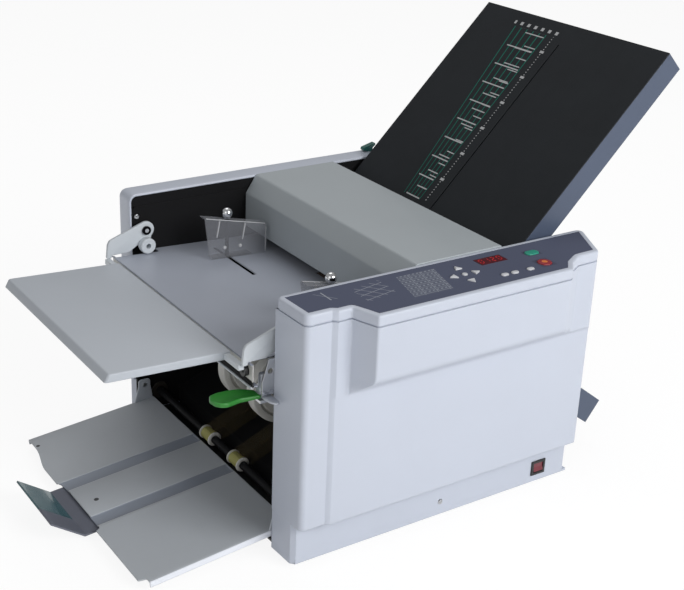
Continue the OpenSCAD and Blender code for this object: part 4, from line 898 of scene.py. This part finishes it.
def pulley_profile():
    """Closed half section of a delivery pulley: a flat for the belt between two raised flanges."""
    half = 12.5
    right = [(7.52, 0), (7.5, half - 2.7), (8.4, half - 2.4), (9.1, half - 1.8), (8.9, half - 0.6),
             (7.9, half), (5.05, half)]
    return mirrored(right) + [(5.05, -half)]


def belt_wrap_profile():
    """Closed half section of the belt's wrap on a pulley, coloured bright yellow as its lit part."""
    return mirrored([(7.62, 0), (7.58, 9.5), (5.2, 9.5)]) + [(5.2, -9.5)]


class FOLDER_OT_delivery(bpy.types.Operator):
    """Builds the stacker wheels and the crowned delivery pulleys"""

    bl_idname = "folder.delivery"
    bl_label = "Delivery"

    def execute(self, context):
        wheels = [turned(wheel_profile(), (WHEEL_C[0], y, WHEEL_C[1]), (0, 1, 0), 96) for y in BELT_YS]
        wheels.append(pin(*AXLE, *WHEEL_C))
        add_mesh("look_stacker_wheels", *joined(*wheels), "wheels", "gear_cream", "gear_cream", smooth=30,
                 node="stacker_wheels")
        looks = (("look_front_pulleys", pulley_profile(), "gear_cream"),
                 ("look_pulley_belt_wraps", belt_wrap_profile(), "sleeve_yellow"))
        for name, profile, finish in looks:
            pair = [turned(profile, (CONV_FRONT[0], y, CONV_FRONT[1]), (0, 1, 0), 48) for y in BELT_YS]
            add_mesh(name, *joined(*pair), "conv_a", "gear_cream", finish, node="conveyor_front")
        add_mesh("look_front_axle", *pin(*AXLE, *CONV_FRONT), "conv_a", "gear_cream", "dark_steel",
                 node="conveyor_front")
        return {"FINISHED"}


def ball_profile():
    """Half section of a chrome knob: collar, waist and a ball of radius KNOB_R."""
    a = np.radians(np.linspace(-62, 89, 22))
    ball = [(KNOB_R * math.cos(t), 6.5 + KNOB_R * math.sin(t)) for t in a]
    return [(0.05, -0.05), (4.0, 0.0), (4.3, 0.4), (4.2, 1.6), (3.2, 2.2)] + ball + [(0.02, 6.5 + KNOB_R)]


class FOLDER_OT_controls(bpy.types.Operator):
    """Builds the knobs of the side guides, the keys and the lit display"""

    bl_idname = "folder.controls"
    bl_label = "Controls"

    def execute(self, context):
        top = GUIDE_TOP - (KNOB_X - 4 - GUIDE_X0) * GUIDE_DROP + 0.05
        for name, body, y in (("look_near_guide_knob", "knob_near", STEM_YS[0]),
                              ("look_far_guide_knob", "knob_far", STEM_YS[1])):
            low = float(plane_z(KNOB_X))
            ball = turned(ball_profile(), (KNOB_X, y, top), (0, 0, 1), 48)
            profile = [(0.05, low - 8), (5.4, low - 8), (6, low - 7.4), (6, low - 3), (5.4, low - 2.4),
                       (2.5, low - 2.4), (2.5, top), (0.05, top)]
            stem = turned(profile, (KNOB_X, y, 0), (0, 0, 1), 32)
            add_mesh(name, *ball, body, "chrome", "chrome", node="guide_" + body)
            add_mesh(name + "_stem", *stem, body, "chrome", "dark_steel", node="guide_" + body)
        self.keys()
        self.digits()
        return {"FINISHED"}

    def keys(self):
        """Each key: its outline as a slab with an eased rim, over the flange that holds it under the cap."""
        arrow = np.array([(-4, -5), (5, 0), (-4, 5)], float)
        octagon = 8.6 * np.stack([np.cos(np.arange(8) * math.pi / 4), np.sin(np.arange(8) * math.pi / 4)], 1)
        pill = lambda length, width: oblong(-length / 2, length / 2, -width / 2, width / 2)
        spec = [("key_up_arrow", (214.3, -28.9), arrow, 0.5, 90),
                ("key_down_arrow", (208.3, -64.5), arrow, 0.5, -90),
                ("key_left_arrow", (195.8, -46.6), arrow, 0.5, 180),
                ("key_right_arrow", (226.8, -47.4), arrow, 0.5, 0),
                ("key_ok", (211.3, -46.6), pill(6.4, 6.4), 3.19, 0),
                ("key_menu_1", (249.5, -68.1), pill(9.5, 6), 2.99, 0),
                ("key_menu_2", (263.5, -68.3), pill(9.5, 6), 2.99, 0),
                ("key_menu_3", (285.3, -68.7), pill(9.5, 6), 2.99, 0),
                ("start_key", START_KEY, pill(18, 11), 5.49, 0),
                ("stop_key", STOP_KEY, octagon, 0.6, 0)]
        z = HOUSING_TOP
        key_levels = [(z - 5.8, 0), (z + 0.4, 0), (z + 1, 0.2), (z + 1.3, 0.7), (z + 1.4, 1.4)]
        flange_levels = [(z - 4.8, 0.1), (z - 4.7, 0), (z - 3.4, 0), (z - 3.3, 0.1)]
        slots = {n["node"]: n["material_slot"] for n in frame["record"]["subparts"]}
        for node, centre, outline, radius, turn in spec:
            t = math.radians(turn)
            spin = np.array([(math.cos(t), math.sin(t)), (-math.sin(t), math.cos(t))])
            outline = outline @ spin + centre
            cap = stacked(outline, radius, key_levels, on_xy, steps=8)
            flange = stacked(inset(outline, -1.4), radius + 1.4, flange_levels, on_xy, steps=8)
            add_mesh("look_" + node, *joined(cap, flange), "b_" + node, slots[node], slots[node], smooth=50,
                     node=node)

    def digits(self):
        """Lit seven-bar figures under the display window, leaning by a tenth."""
        bars = {"a": (0, 4.6, 0), "b": (2.1, 2.35, 1), "c": (2.1, -2.35, 1), "d": (0, -4.6, 0),
                "e": (-2.1, -2.35, 1), "f": (-2.1, 2.35, 1), "g": (0, 0, 0)}
        z = HOUSING_TOP
        parts = []
        for k, lit in enumerate(("abcdef", "bc", "abged", "abcdef")):
            for bar in lit:
                x, y, upright = bars[bar]
                half = np.array([(-1.7, 0), (-1.2, -0.5), (1.2, -0.5), (1.7, 0), (1.2, 0.5), (-1.2, 0.5)])
                if upright:
                    half = half[:, ::-1] * [1, -1]
                outline = half + [x, y]
                outline[:, 0] += outline[:, 1] * DIGIT_LEAN + DIGITS_AT[0] + DIGIT_PITCH * k
                outline[:, 1] += DIGITS_AT[1]
                parts.append(slab(outline, 0.1, z + 0.1, z + 0.55, 0.1, on_xy, steps=2, rings=2))
        add_mesh("look_lit_figures", *joined(*parts), "base", "display_dark", "lit_red")


def hump_path():
    """Rounded x-z outline of the centre cover's sheet, from the front edge over the top to the rear edge."""
    x0, x1, z0 = HUMP
    z1 = HOUSING_TOP + 1
    corners = [(x0, z0), (x0, z1 - 23), (x0 + 15, z1), (x1, z1), (x1, z1 - 19), (x1 - 20, z1 - 19),
               (x1 - 20, z0)]
    path = rounded(corners, [0.1, 6, 5, 3, 1.5, 1.5, 0.1], 10)
    return path[9:50]


def centre_cover():
    """Folded cover over the feed roller with its end walls, hinge ears and pins."""
    sheet = shell(swept(hump_path(), 0.6, INNER_Y - 0.6, 3), 2.2, (240, 175, 250))
    x0, x1, z0 = HUMP
    wall = [(x0 + 0.8, z0 + 1), (x0 + 2.4, z0 + 1), (x0 + 2.6, 264), (x1 - 12, 293.2), (x1 - 0.8, 293.2),
            (x1 - 0.8, HOUSING_TOP), (x0 + 15.4, HOUSING_TOP), (x0 + 0.8, 290)]
    x, z = HUMP_PIN
    ear = oblong(x - 6, x + 6, z - 6, z + 9)
    parts = [sheet]
    for y, ends in ((0.5, (-4.5, 3.0)), (INNER_Y - 2.9, (INNER_Y - 3, INNER_Y + 4.5))):
        parts.append(slab(wall, [0.3, 0.3, 3, 3, 1, 2, 4, 5], y, y + 2.4, 0.4, on_xz))
        parts.append(slab(ear, [5.9, 5.9, 0.5, 0.5], y + 0.1, y + 2.3, 0.3, on_xz))
        parts.append(pin(3, *ends, x, z))
    add_mesh("look_centre_cover", *joined(*parts), "cover", "hump_grey", "hump_grey", smooth=40,
             node="centre_cover")


def on_slope(x0, z0, angle):
    """Maps (along the slope, y, height above it) to the working frame."""
    c, v = math.cos(math.radians(angle)), math.sin(math.radians(angle))
    return lambda a, b, h: np.stack([x0 + a * c - h * v, b, z0 + a * v + h * c], 1)


def pan(corners, radii, deep, thick, edge, place, steps=6):
    """Folded sheet open below: rings run down inside its flanges, round their rim and over the top edge."""
    t = np.linspace(0, math.pi / 2, 5)
    levels = [(-thick, thick + 0.3), (-thick - 0.4, thick), (-deep + 0.2, thick), (-deep, thick - 0.3),
              (-deep, 0.3), (-deep + 0.3, 0)]
    levels += list(zip(-edge * (1 - np.sin(t)), edge * (1 - np.cos(t))))
    return stacked(corners, radii, levels, place, steps)


def feed_table():
    """Table sheet: its outer flange leans out by 4.5 mm over its depth, fading over 12 mm along the table."""
    slope = on_slope(PLANE_X0, PLANE_Z0, -PLANE_TILT)
    lean = lambda a, b, h: slope(a - 4.5 * (-h / TABLE_EDGE) * np.clip(1 - a / 12, 0, 1), b, h)
    edge = 1000 * bpy.context.scene.folder_sizes.sheet_edge
    sheet = pan(oblong(0, TABLE_L, 40, 320), [3, 1.5, 1.5, 3], TABLE_EDGE, 1.5, edge, lean)
    add_mesh("look_feed_table", *sheet, "table", "table_white", "table_white", node="feed_table")


def table_arms():
    """Two arms with round heads, their collars and the cross bar under the table's inner edge."""
    head = np.radians(np.linspace(112, -48, 15))
    boss = np.radians(np.linspace(38, -188, 19))
    outline = np.concatenate([
        np.stack([11 * np.cos(head), 11 * np.sin(head)], 1),
        np.stack([9 * np.cos(boss) - 1, 9 * np.sin(boss) - 18.5], 1),
        [(-24, -25.5), (-46.5, -25.5), (-47.0, -29), (-53.4, -29), (-51.5, -11), (-48.5, -6)]]) + PIVOT
    radii = np.array([0.5] * 34 + [3, 1, 0.6, 1.5, 5, 5])
    parts = []
    for y in (5.0, 341.0):
        parts.append(slab(outline, radii, y, y + 4, 0.7, on_xz, steps=4))
    for y in (9.0, 332.0):
        ring = [(3.2, y), (9.2, y), (10, y + 0.9), (10, y + 8.1), (9.2, y + 9), (5.6, y + 9), (5.2, y + 8.4),
                (3.2, y + 8.2), (3.2, y)]
        parts.append(turned(ring, (PIVOT[0] - 1, 0, PIVOT[1] - 18.5), (0, 1, 0), 40))
    slope = on_slope(PLANE_X0, PLANE_Z0, -PLANE_TILT)
    bar = oblong(TABLE_L - 8.5, TABLE_L - 1.6, 8.9, 341.1)
    parts.append(slab(bar, 0.5, -8, -1.6, 0.5, slope))
    add_mesh("look_table_arms", *joined(*parts), "table", "table_white", "arm_white", node="table_arms")


def rail_trim():
    """Black strip of painted shade in the rail's recess, and pale lip along the lower edge of the feed plate's
    front rail.
    """
    # Black strip standing in front of the web: painted shade of the recess.
    dark = slab(oblong(-22.35, -21.8, 212.8, 219), 0.1, 4, 346, 0.1, on_xz, steps=3, rings=2)
    add_mesh("look_rail_recess_shade", *dark, "base", "plate_steel", "frame_black")
    lip = slab(oblong(-23.4, -20.6, 209.9, 212.3), 0.6, 3.5, 346.5, 0.3, on_xz)
    add_mesh("look_rail_lip", *lip, "base", "plate_steel", "arm_white")


def tray_end(y):
    """Outer end of the tray at y: a tongue 9 mm longer than the corners, 3.4 mm where the end stop slides.

    Its far side is the S-curve 3 f^2 - 2 f^3 over 54 mm.
    """
    far = np.clip((323 - y) / 54, 0, 1)
    near = np.clip((y - 9) / 2.5, 0, 1)
    recess = np.clip((y - 119) / 3, 0, 1) * np.clip((233 - y) / 3, 0, 1)
    return -TRAY_L - (9 - 5.6 * recess) * (3 * far**2 - 2 * far**3) * near


def delivery_tray():
    """Tray sheet with two pressed grooves.

    A path across y is run along the slope, from the curved end to the hinge.
    """
    slope = on_slope(TRAY_HINGE[0], TRAY_HINGE[1], TRAY_TILT)
    y0, y1 = TRAY_Y
    deep, half = 1.6, GROOVE_W / 2
    path = [(y0, -7), (y0, -1.6), (y0 + 0.5, -0.5), (y0 + 1.6, 0)]
    path += [(y, 0) for y in (6, 9, 9.8, 10.6, 11.5, 60, 118, 119, 122)]
    for y in GROOVE_YS:
        ya, yb = y - half, y + half
        path += [(ya - 0.9, 0), (ya - 0.3, -0.25), (ya + 0.5, -deep + 0.25), (ya + 1.2, -deep)]
        path += [(yb - 1.2, -deep), (yb - 0.5, -deep + 0.25), (yb + 0.3, -0.25), (yb + 0.9, 0)]
    path += [(y, 0) for y in (233.6, 236)] + [(y, 0) for y in np.linspace(262, 330, 18)]
    path += [(y1 - 1.6, 0), (y1 - 0.5, -0.5), (y1, -1.6), (y1, -7)]
    path = np.array(path, float)
    share = np.concatenate([[0, 0.004], np.linspace(0.05, 1, 8)])[:, None]
    a = share * -0.3 + (1 - share) * tray_end(path[None, :, 0])
    y, h = (np.broadcast_to(path[:, k], a.shape) for k in (0, 1))
    grid = slope(a.ravel(), y.ravel(), h.ravel())
    sheet = shell(grid.reshape(*a.shape, 3), 1.4, (-60, 175, -40))
    lip = slab(oblong(-0.4, 1.1, y0 + 0.5, y1 - 0.5), 0.4, -7, -0.1, 0.3, slope)
    add_mesh("look_delivery_tray", *joined(sheet, lip), "tray", "tray_grey", "tray_grey", smooth=40,
             node="delivery_tray")
    parts = []
    ear = [(0.93, 27.6), (26.3, 30.1), (23.3, 50), (23.3, 59.3), (6.7, 59.3), (6.7, 50)]
    for y in (y0 + 0.5, y1 - 2.5):
        parts.append(slab(ear, [0.5, 0.5, 3, 8.2, 8.2, 3], y, y + 2, 0.35, on_xz))
    add_mesh("look_tray_ears", *joined(*parts), "tray", "tray_grey", "table_white", node="delivery_tray")


def strip(line, x0, x1, low, high):
    """Outline of a strip that follows a height line z = line(x), from `low` to `high` above it."""
    return [(x0, line(x0) + low), (x1, line(x1) + low), (x1, line(x1) + high), (x0, line(x0) + high)]


def side_guide(name, body, y0, away):
    """Clear guide: a plate with rounded corners, flanges at its top and foot, two slots and rivets; pale
    strips on the slots' edges, the top edge and the outer end are painted highlights.
    """
    top = lambda x: GUIDE_TOP - (x - GUIDE_X0) * GUIDE_DROP
    low = lambda x: float(plane_z(x)) + 0.4
    end = 160.0
    plate = [(GUIDE_X0, top(GUIDE_X0)), (GUIDE_X0 + 7, low(GUIDE_X0 + 7)), (end, low(end)), (end, top(end))]
    parts = [slab(plate, [1, 3, 3, 4], y0, y0 + 2, 0.3, on_xz)]
    ya = y0 - 12 if away < 0 else y0 + 2
    ribs = [(GUIDE_X0 + 0.4, top(GUIDE_X0) - 0.3), (GUIDE_X0 + 0.5, top(GUIDE_X0) - 1.8),
            (end - 0.4, top(end) - 1.8), (end - 0.4, top(end) - 0.3)]
    foot = strip(low, GUIDE_X0 + 12, end - 20, 0, 1.4)
    parts.append(slab(ribs, 0.4, ya, ya + 12, 0.3, on_xz))
    parts.append(slab(foot, 0.4, ya, ya + 12, 0.3, on_xz))
    add_mesh("look_" + name, *joined(*parts), body, "clear_smoke", "clear_smoke", node=name)
    # Pale strips round the slots, along the top edge and at the outer end: painted highlights; the rivets
    # share their finish.
    trim = []
    for x in (GUIDE_X0 + 20, GUIDE_X0 + 56):
        z = top(x) - 2
        slot = [(x, z), (x + 1.4, z), (x - 2.6, z - 21), (x - 4.0, z - 21)]
        trim.append(slab(slot, 0.3, y0 - 0.15, y0 + 2.15, 0.1, on_xz))
    rim = strip(top, GUIDE_X0 + 2, end - 2, -0.9, 0)
    side = oblong(end - 0.8, end + 0.05, low(end) + 2, top(end) - 4)
    trim += [slab(outline, 0.2, y0 - 0.1, y0 + 2.1, 0.1, on_xz) for outline in (rim, side)]
    rivet = [(0.05, -0.7), (1.6, -0.6), (2.2, -0.1), (2.2, 2.1), (1.6, 2.6), (0.05, 2.7)]
    for x in (GUIDE_X0 + 28, GUIDE_X0 + 50):
        trim.append(turned(rivet, (x, y0, low(x) + 14), (0, 1, 0), 24))
    add_mesh("look_" + name + "_trim", *joined(*trim), body, "clear_smoke", "edge_lit", node=name)


def pressure_lever():
    """Steel plate with two ears, a turned hub and the green grip, whose height rises towards its tip."""
    x0, y0, z0 = LEVER
    flat = lambda a, b, h: np.stack([a + x0, b + y0, h + z0], 1)
    front = [(-6, 2), (-3, -21), (1.5, -28.5), (6.2, -25.5), (6.4, 2)]
    near_ear = slab(front, [1, 5, 3, 3, 1], 0.6, 3.2, 0.6, flat)
    side = [(2, -4), (-20, -1), (-23, 3), (-20, 11), (2, 6)]
    side_ear = slab(side, [1, 5, 5, 4, 1], 0.9, 3.4, 0.7, flat)
    profile = [(0.05, -6), (3.3, -6), (3.6, -5.6), (3.6, -0.1), (6.2, 0), (6.7, 0.6), (6.7, 6.2), (6.2, 6.6),
               (6.2, 7.2), (6.7, 7.6), (6.7, 11.6), (6.3, 12.6), (5.2, 14.6), (4.7, 19), (4.4, 25.4),
               (3.8, 26.6), (2.2, 27.2), (0.05, 27.4)]
    hub = turned(profile, LEVER, (0, 0, 1), 48)
    add_mesh("look_lever_plate", *joined(near_ear, side_ear, hub), "lever", "bright_steel", "zinc",
             node="lever_plate")
    thin = lambda a, h: h * np.where(h < 0, np.interp(a, [-20, -12], [1, 0.6]), 1)
    rise = lambda a: np.interp(a, [-58.5, -50, -42, -33, -10], [5.2, 4.6, 3.8, 3.0, 2.6])
    grip = lambda a, b, h: flat(a, b, thin(a, h) + rise(a))
    plan = [(-5.5, -6.5), (-28, -3), (-46, -8), (-53, -6), (-57.5, -1), (-59, 8), (-55, 16), (-44, 20),
            (-32, 21), (-20, 19), (-5.5, 9)]
    round_by = [1, 12, 8, 3, 3, 5, 6, 10, 10, 9, 1]
    levels = [(-3.4, 1.8), (-3.1, 0.8), (-2.4, 0.2), (-1.4, 0), (0.9, 0), (1.7, 0.4), (2.2, 1.3), (2.2, 2.0),
              (1.8, 3.0)]
    add_mesh("look_lever_grip", *stacked(plan, round_by, levels, grip, steps=8), "lever", "lever_green",
             "lever_green", node="lever_grip")


def release_catch():
    """Hooked catch with its cross pin, on the far housing."""
    x, y, z = RELEASE
    hook = [(-4, -16), (4, -16), (4, 4), (9, 8), (8, 11), (-11, 6), (-12, 2), (-4, 0)]
    body = slab(np.array(hook, float) + (x, z), [1, 1, 3, 1.2, 1.5, 1.5, 1.5, 2], y, y + 8, 1.0, on_xz)
    cross = pin(3, 362, 379, x, z - 12, steps=24)
    add_mesh("look_release_catch", *joined(body, cross), "release", "release_green", "release_green",
             node="plate_release")


class FOLDER_OT_sheets(bpy.types.Operator):
    """Builds the folded sheets: centre cover, feed table with its arms, rail trim and delivery tray"""

    bl_idname = "folder.sheets"
    bl_label = "Sheets"

    def execute(self, context):
        centre_cover()
        feed_table()
        table_arms()
        rail_trim()
        delivery_tray()
        return {"FINISHED"}


class FOLDER_OT_handles(bpy.types.Operator):
    """Builds the side guides, the pressure lever and the release catch"""

    bl_idname = "folder.handles"
    bl_label = "Guides and levers"

    def execute(self, context):
        side_guide("guide_near", "guide_near_b", 63.0, -1)
        side_guide("guide_far", "guide_far_b", 285.0, 1)
        pressure_lever()
        release_catch()
        return {"FINISHED"}


# ---------------------------------------------------------------- stage
class FOLDER_OT_stage(bpy.types.Operator):
    """Pale floor, soft lamps, white surroundings and the camera"""

    bl_idname = "folder.stage"
    bl_label = "Stage"

    def execute(self, context):
        scene = context.scene
        sizes = scene.folder_sizes
        scene.view_settings.view_transform = "Standard"
        self.floor()
        self.lamp("Key lamp", (0.9, -2.9, 1.75), 1.7, 74 * sizes.lamp)
        self.lamp("Fill lamp", (-2.4, -1.2, 1.6), 1.8, 8 * sizes.lamp)
        self.lamp("Back lamp", (0.5, 1.4, 2.9), 1.6, 12 * sizes.lamp)
        self.world(scene)
        self.camera(scene, sizes.lens)
        return {"FINISHED"}

    def floor(self):
        """A wide quad under the feet, white to the camera, keeping a soft shadow."""
        mesh = bpy.data.meshes.new("Floor")
        r = 12.0
        mesh.from_pydata([(-r, -r, 0), (r, -r, 0), (r, r, 0), (-r, r, 0)], [], [(0, 1, 2, 3)])
        floor = bpy.data.objects.new("Floor", mesh)
        bpy.context.scene.collection.objects.link(floor)
        material = bpy.data.materials.new("Studio floor")
        material.use_nodes = True
        tree = material.node_tree
        shader = tree.nodes["Principled BSDF"]
        where = tree.nodes.new("ShaderNodeTexCoord").outputs["Object"]
        grain = tree.nodes.new("ShaderNodeGroup")
        grain.node_tree = shared("grain")
        tree.links.new(where, grain.inputs["Vector"])
        tree.links.new(mix_colour(tree, grain.outputs["Mottle"], (0.93, 0.93, 0.93), (0.95, 0.95, 0.95)),
                       shader.inputs["Base Color"])
        shader.inputs["Roughness"].default_value = 0.9
        shader.inputs["Specular IOR Level"].default_value = 0.1
        glow = tree.nodes.new("ShaderNodeEmission")
        glow.inputs["Color"].default_value = (1, 1, 1, 1)
        glow.inputs["Strength"].default_value = 1.06
        path = tree.nodes.new("ShaderNodeLightPath")
        seen = math_node(tree, "MAXIMUM", path.outputs["Is Camera Ray"], path.outputs["Is Glossy Ray"])
        seen = math_node(tree, "MAXIMUM", seen, path.outputs["Is Transmission Ray"])
        blend = tree.nodes.new("ShaderNodeMixShader")
        tree.links.new(math_node(tree, "MULTIPLY", seen, 0.84), blend.inputs[0])
        tree.links.new(shader.outputs[0], blend.inputs[1])
        tree.links.new(glow.outputs[0], blend.inputs[2])
        tree.links.new(blend.outputs[0], tree.nodes["Material Output"].inputs["Surface"])
        mesh.materials.append(material)

    def lamp(self, name, place, size, power):
        """A square soft lamp that looks at the middle of the machine."""
        light = bpy.data.lights.new(name, "AREA")
        light.size = size
        light.energy = power
        lamp = bpy.data.objects.new(name, light)
        bpy.context.scene.collection.objects.link(lamp)
        lamp.location = place
        lamp.rotation_euler = (Vector(place) - Vector((0, 0, 0.2))).to_track_quat("Z", "Y").to_euler()

    def world(self, scene):
        """White surroundings to the camera and through clear pieces, a softer level for the light."""
        world = bpy.data.worlds.new("Studio surroundings")
        scene.world = world
        world.use_nodes = True
        tree = world.node_tree
        back = tree.nodes["Background"]
        path = tree.nodes.new("ShaderNodeLightPath")
        seen = math_node(tree, "MAXIMUM", path.outputs["Is Camera Ray"], path.outputs["Is Transmission Ray"])
        level = math_node(tree, "ADD", math_node(tree, "MULTIPLY", seen, 0.7), 0.3, clamp=True)
        tree.links.new(level, back.inputs["Strength"])
        back.inputs["Color"].default_value = (1, 1, 1, 1)

    def camera(self, scene, lens):
        """Camera of the photograph: azimuth, height angle and roll from the fit to its edges."""
        azimuth, height, roll = (math.radians(v) for v in (-34.507, 23.441, 2.387))
        back = np.array([math.sin(azimuth) * math.cos(height), -math.cos(azimuth) * math.cos(height),
                         math.sin(height)])
        right = np.cross([0, 0, 1.0], back)
        right /= np.linalg.norm(right)
        up = np.cross(back, right)
        side = math.cos(roll) * right + math.sin(roll) * up
        top = -math.sin(roll) * right + math.cos(roll) * up
        data = bpy.data.cameras.new("Photo camera")
        data.sensor_width = 36.0
        data.lens = lens
        data.clip_start, data.clip_end = 0.05, 60.0
        camera = bpy.data.objects.new("Photo camera", data)
        bpy.context.scene.collection.objects.link(camera)
        place = row([[-627.69, -1035.80, 841.54]])[0]
        turn = Matrix((side, top, back)).transposed().to_4x4()
        camera.matrix_world = Matrix.Translation(Vector(place)) @ turn
        scene.camera = camera


CLASSES = [FolderSizes, FolderColours, FOLDER_OT_finishes, FOLDER_OT_housings, FOLDER_OT_delivery,
           FOLDER_OT_controls, FOLDER_OT_sheets, FOLDER_OT_handles, FOLDER_OT_stage]


class FOLDER_PT_panel(bpy.types.Panel):
    """Sidebar panel with the machine's steps"""

    bl_label = "Paper Folding Machine"
    bl_idname = "FOLDER_PT_panel"
    bl_space_type = "VIEW_3D"
    bl_region_type = "UI"
    bl_category = "Folder"

    def draw(self, context):
        layout = self.layout
        for group in (context.scene.folder_sizes, context.scene.folder_colours):
            for key in group.__annotations__:
                layout.prop(group, key)
        for step in STEPS:
            layout.operator("folder." + step)


STEPS = ["stage", "finishes", "housings", "sheets", "delivery", "controls", "handles"]


def register():
    """Registers the classes and gives the scene its sizes and colours."""
    for cls in CLASSES + [FOLDER_PT_panel]:
        bpy.utils.register_class(cls)
    bpy.types.Scene.folder_sizes = bpy.props.PointerProperty(type=FolderSizes)
    bpy.types.Scene.folder_colours = bpy.props.PointerProperty(type=FolderColours)


def unregister():
    """Takes the sizes, the colours and the classes away again."""
    del bpy.types.Scene.folder_colours
    del bpy.types.Scene.folder_sizes
    for cls in reversed(CLASSES + [FOLDER_PT_panel]):
        bpy.utils.unregister_class(cls)


def main():
    """Runs the steps in order."""
    register()
    for step in STEPS:
        getattr(bpy.ops.folder, step)()


if __name__ == "__main__":
    main()
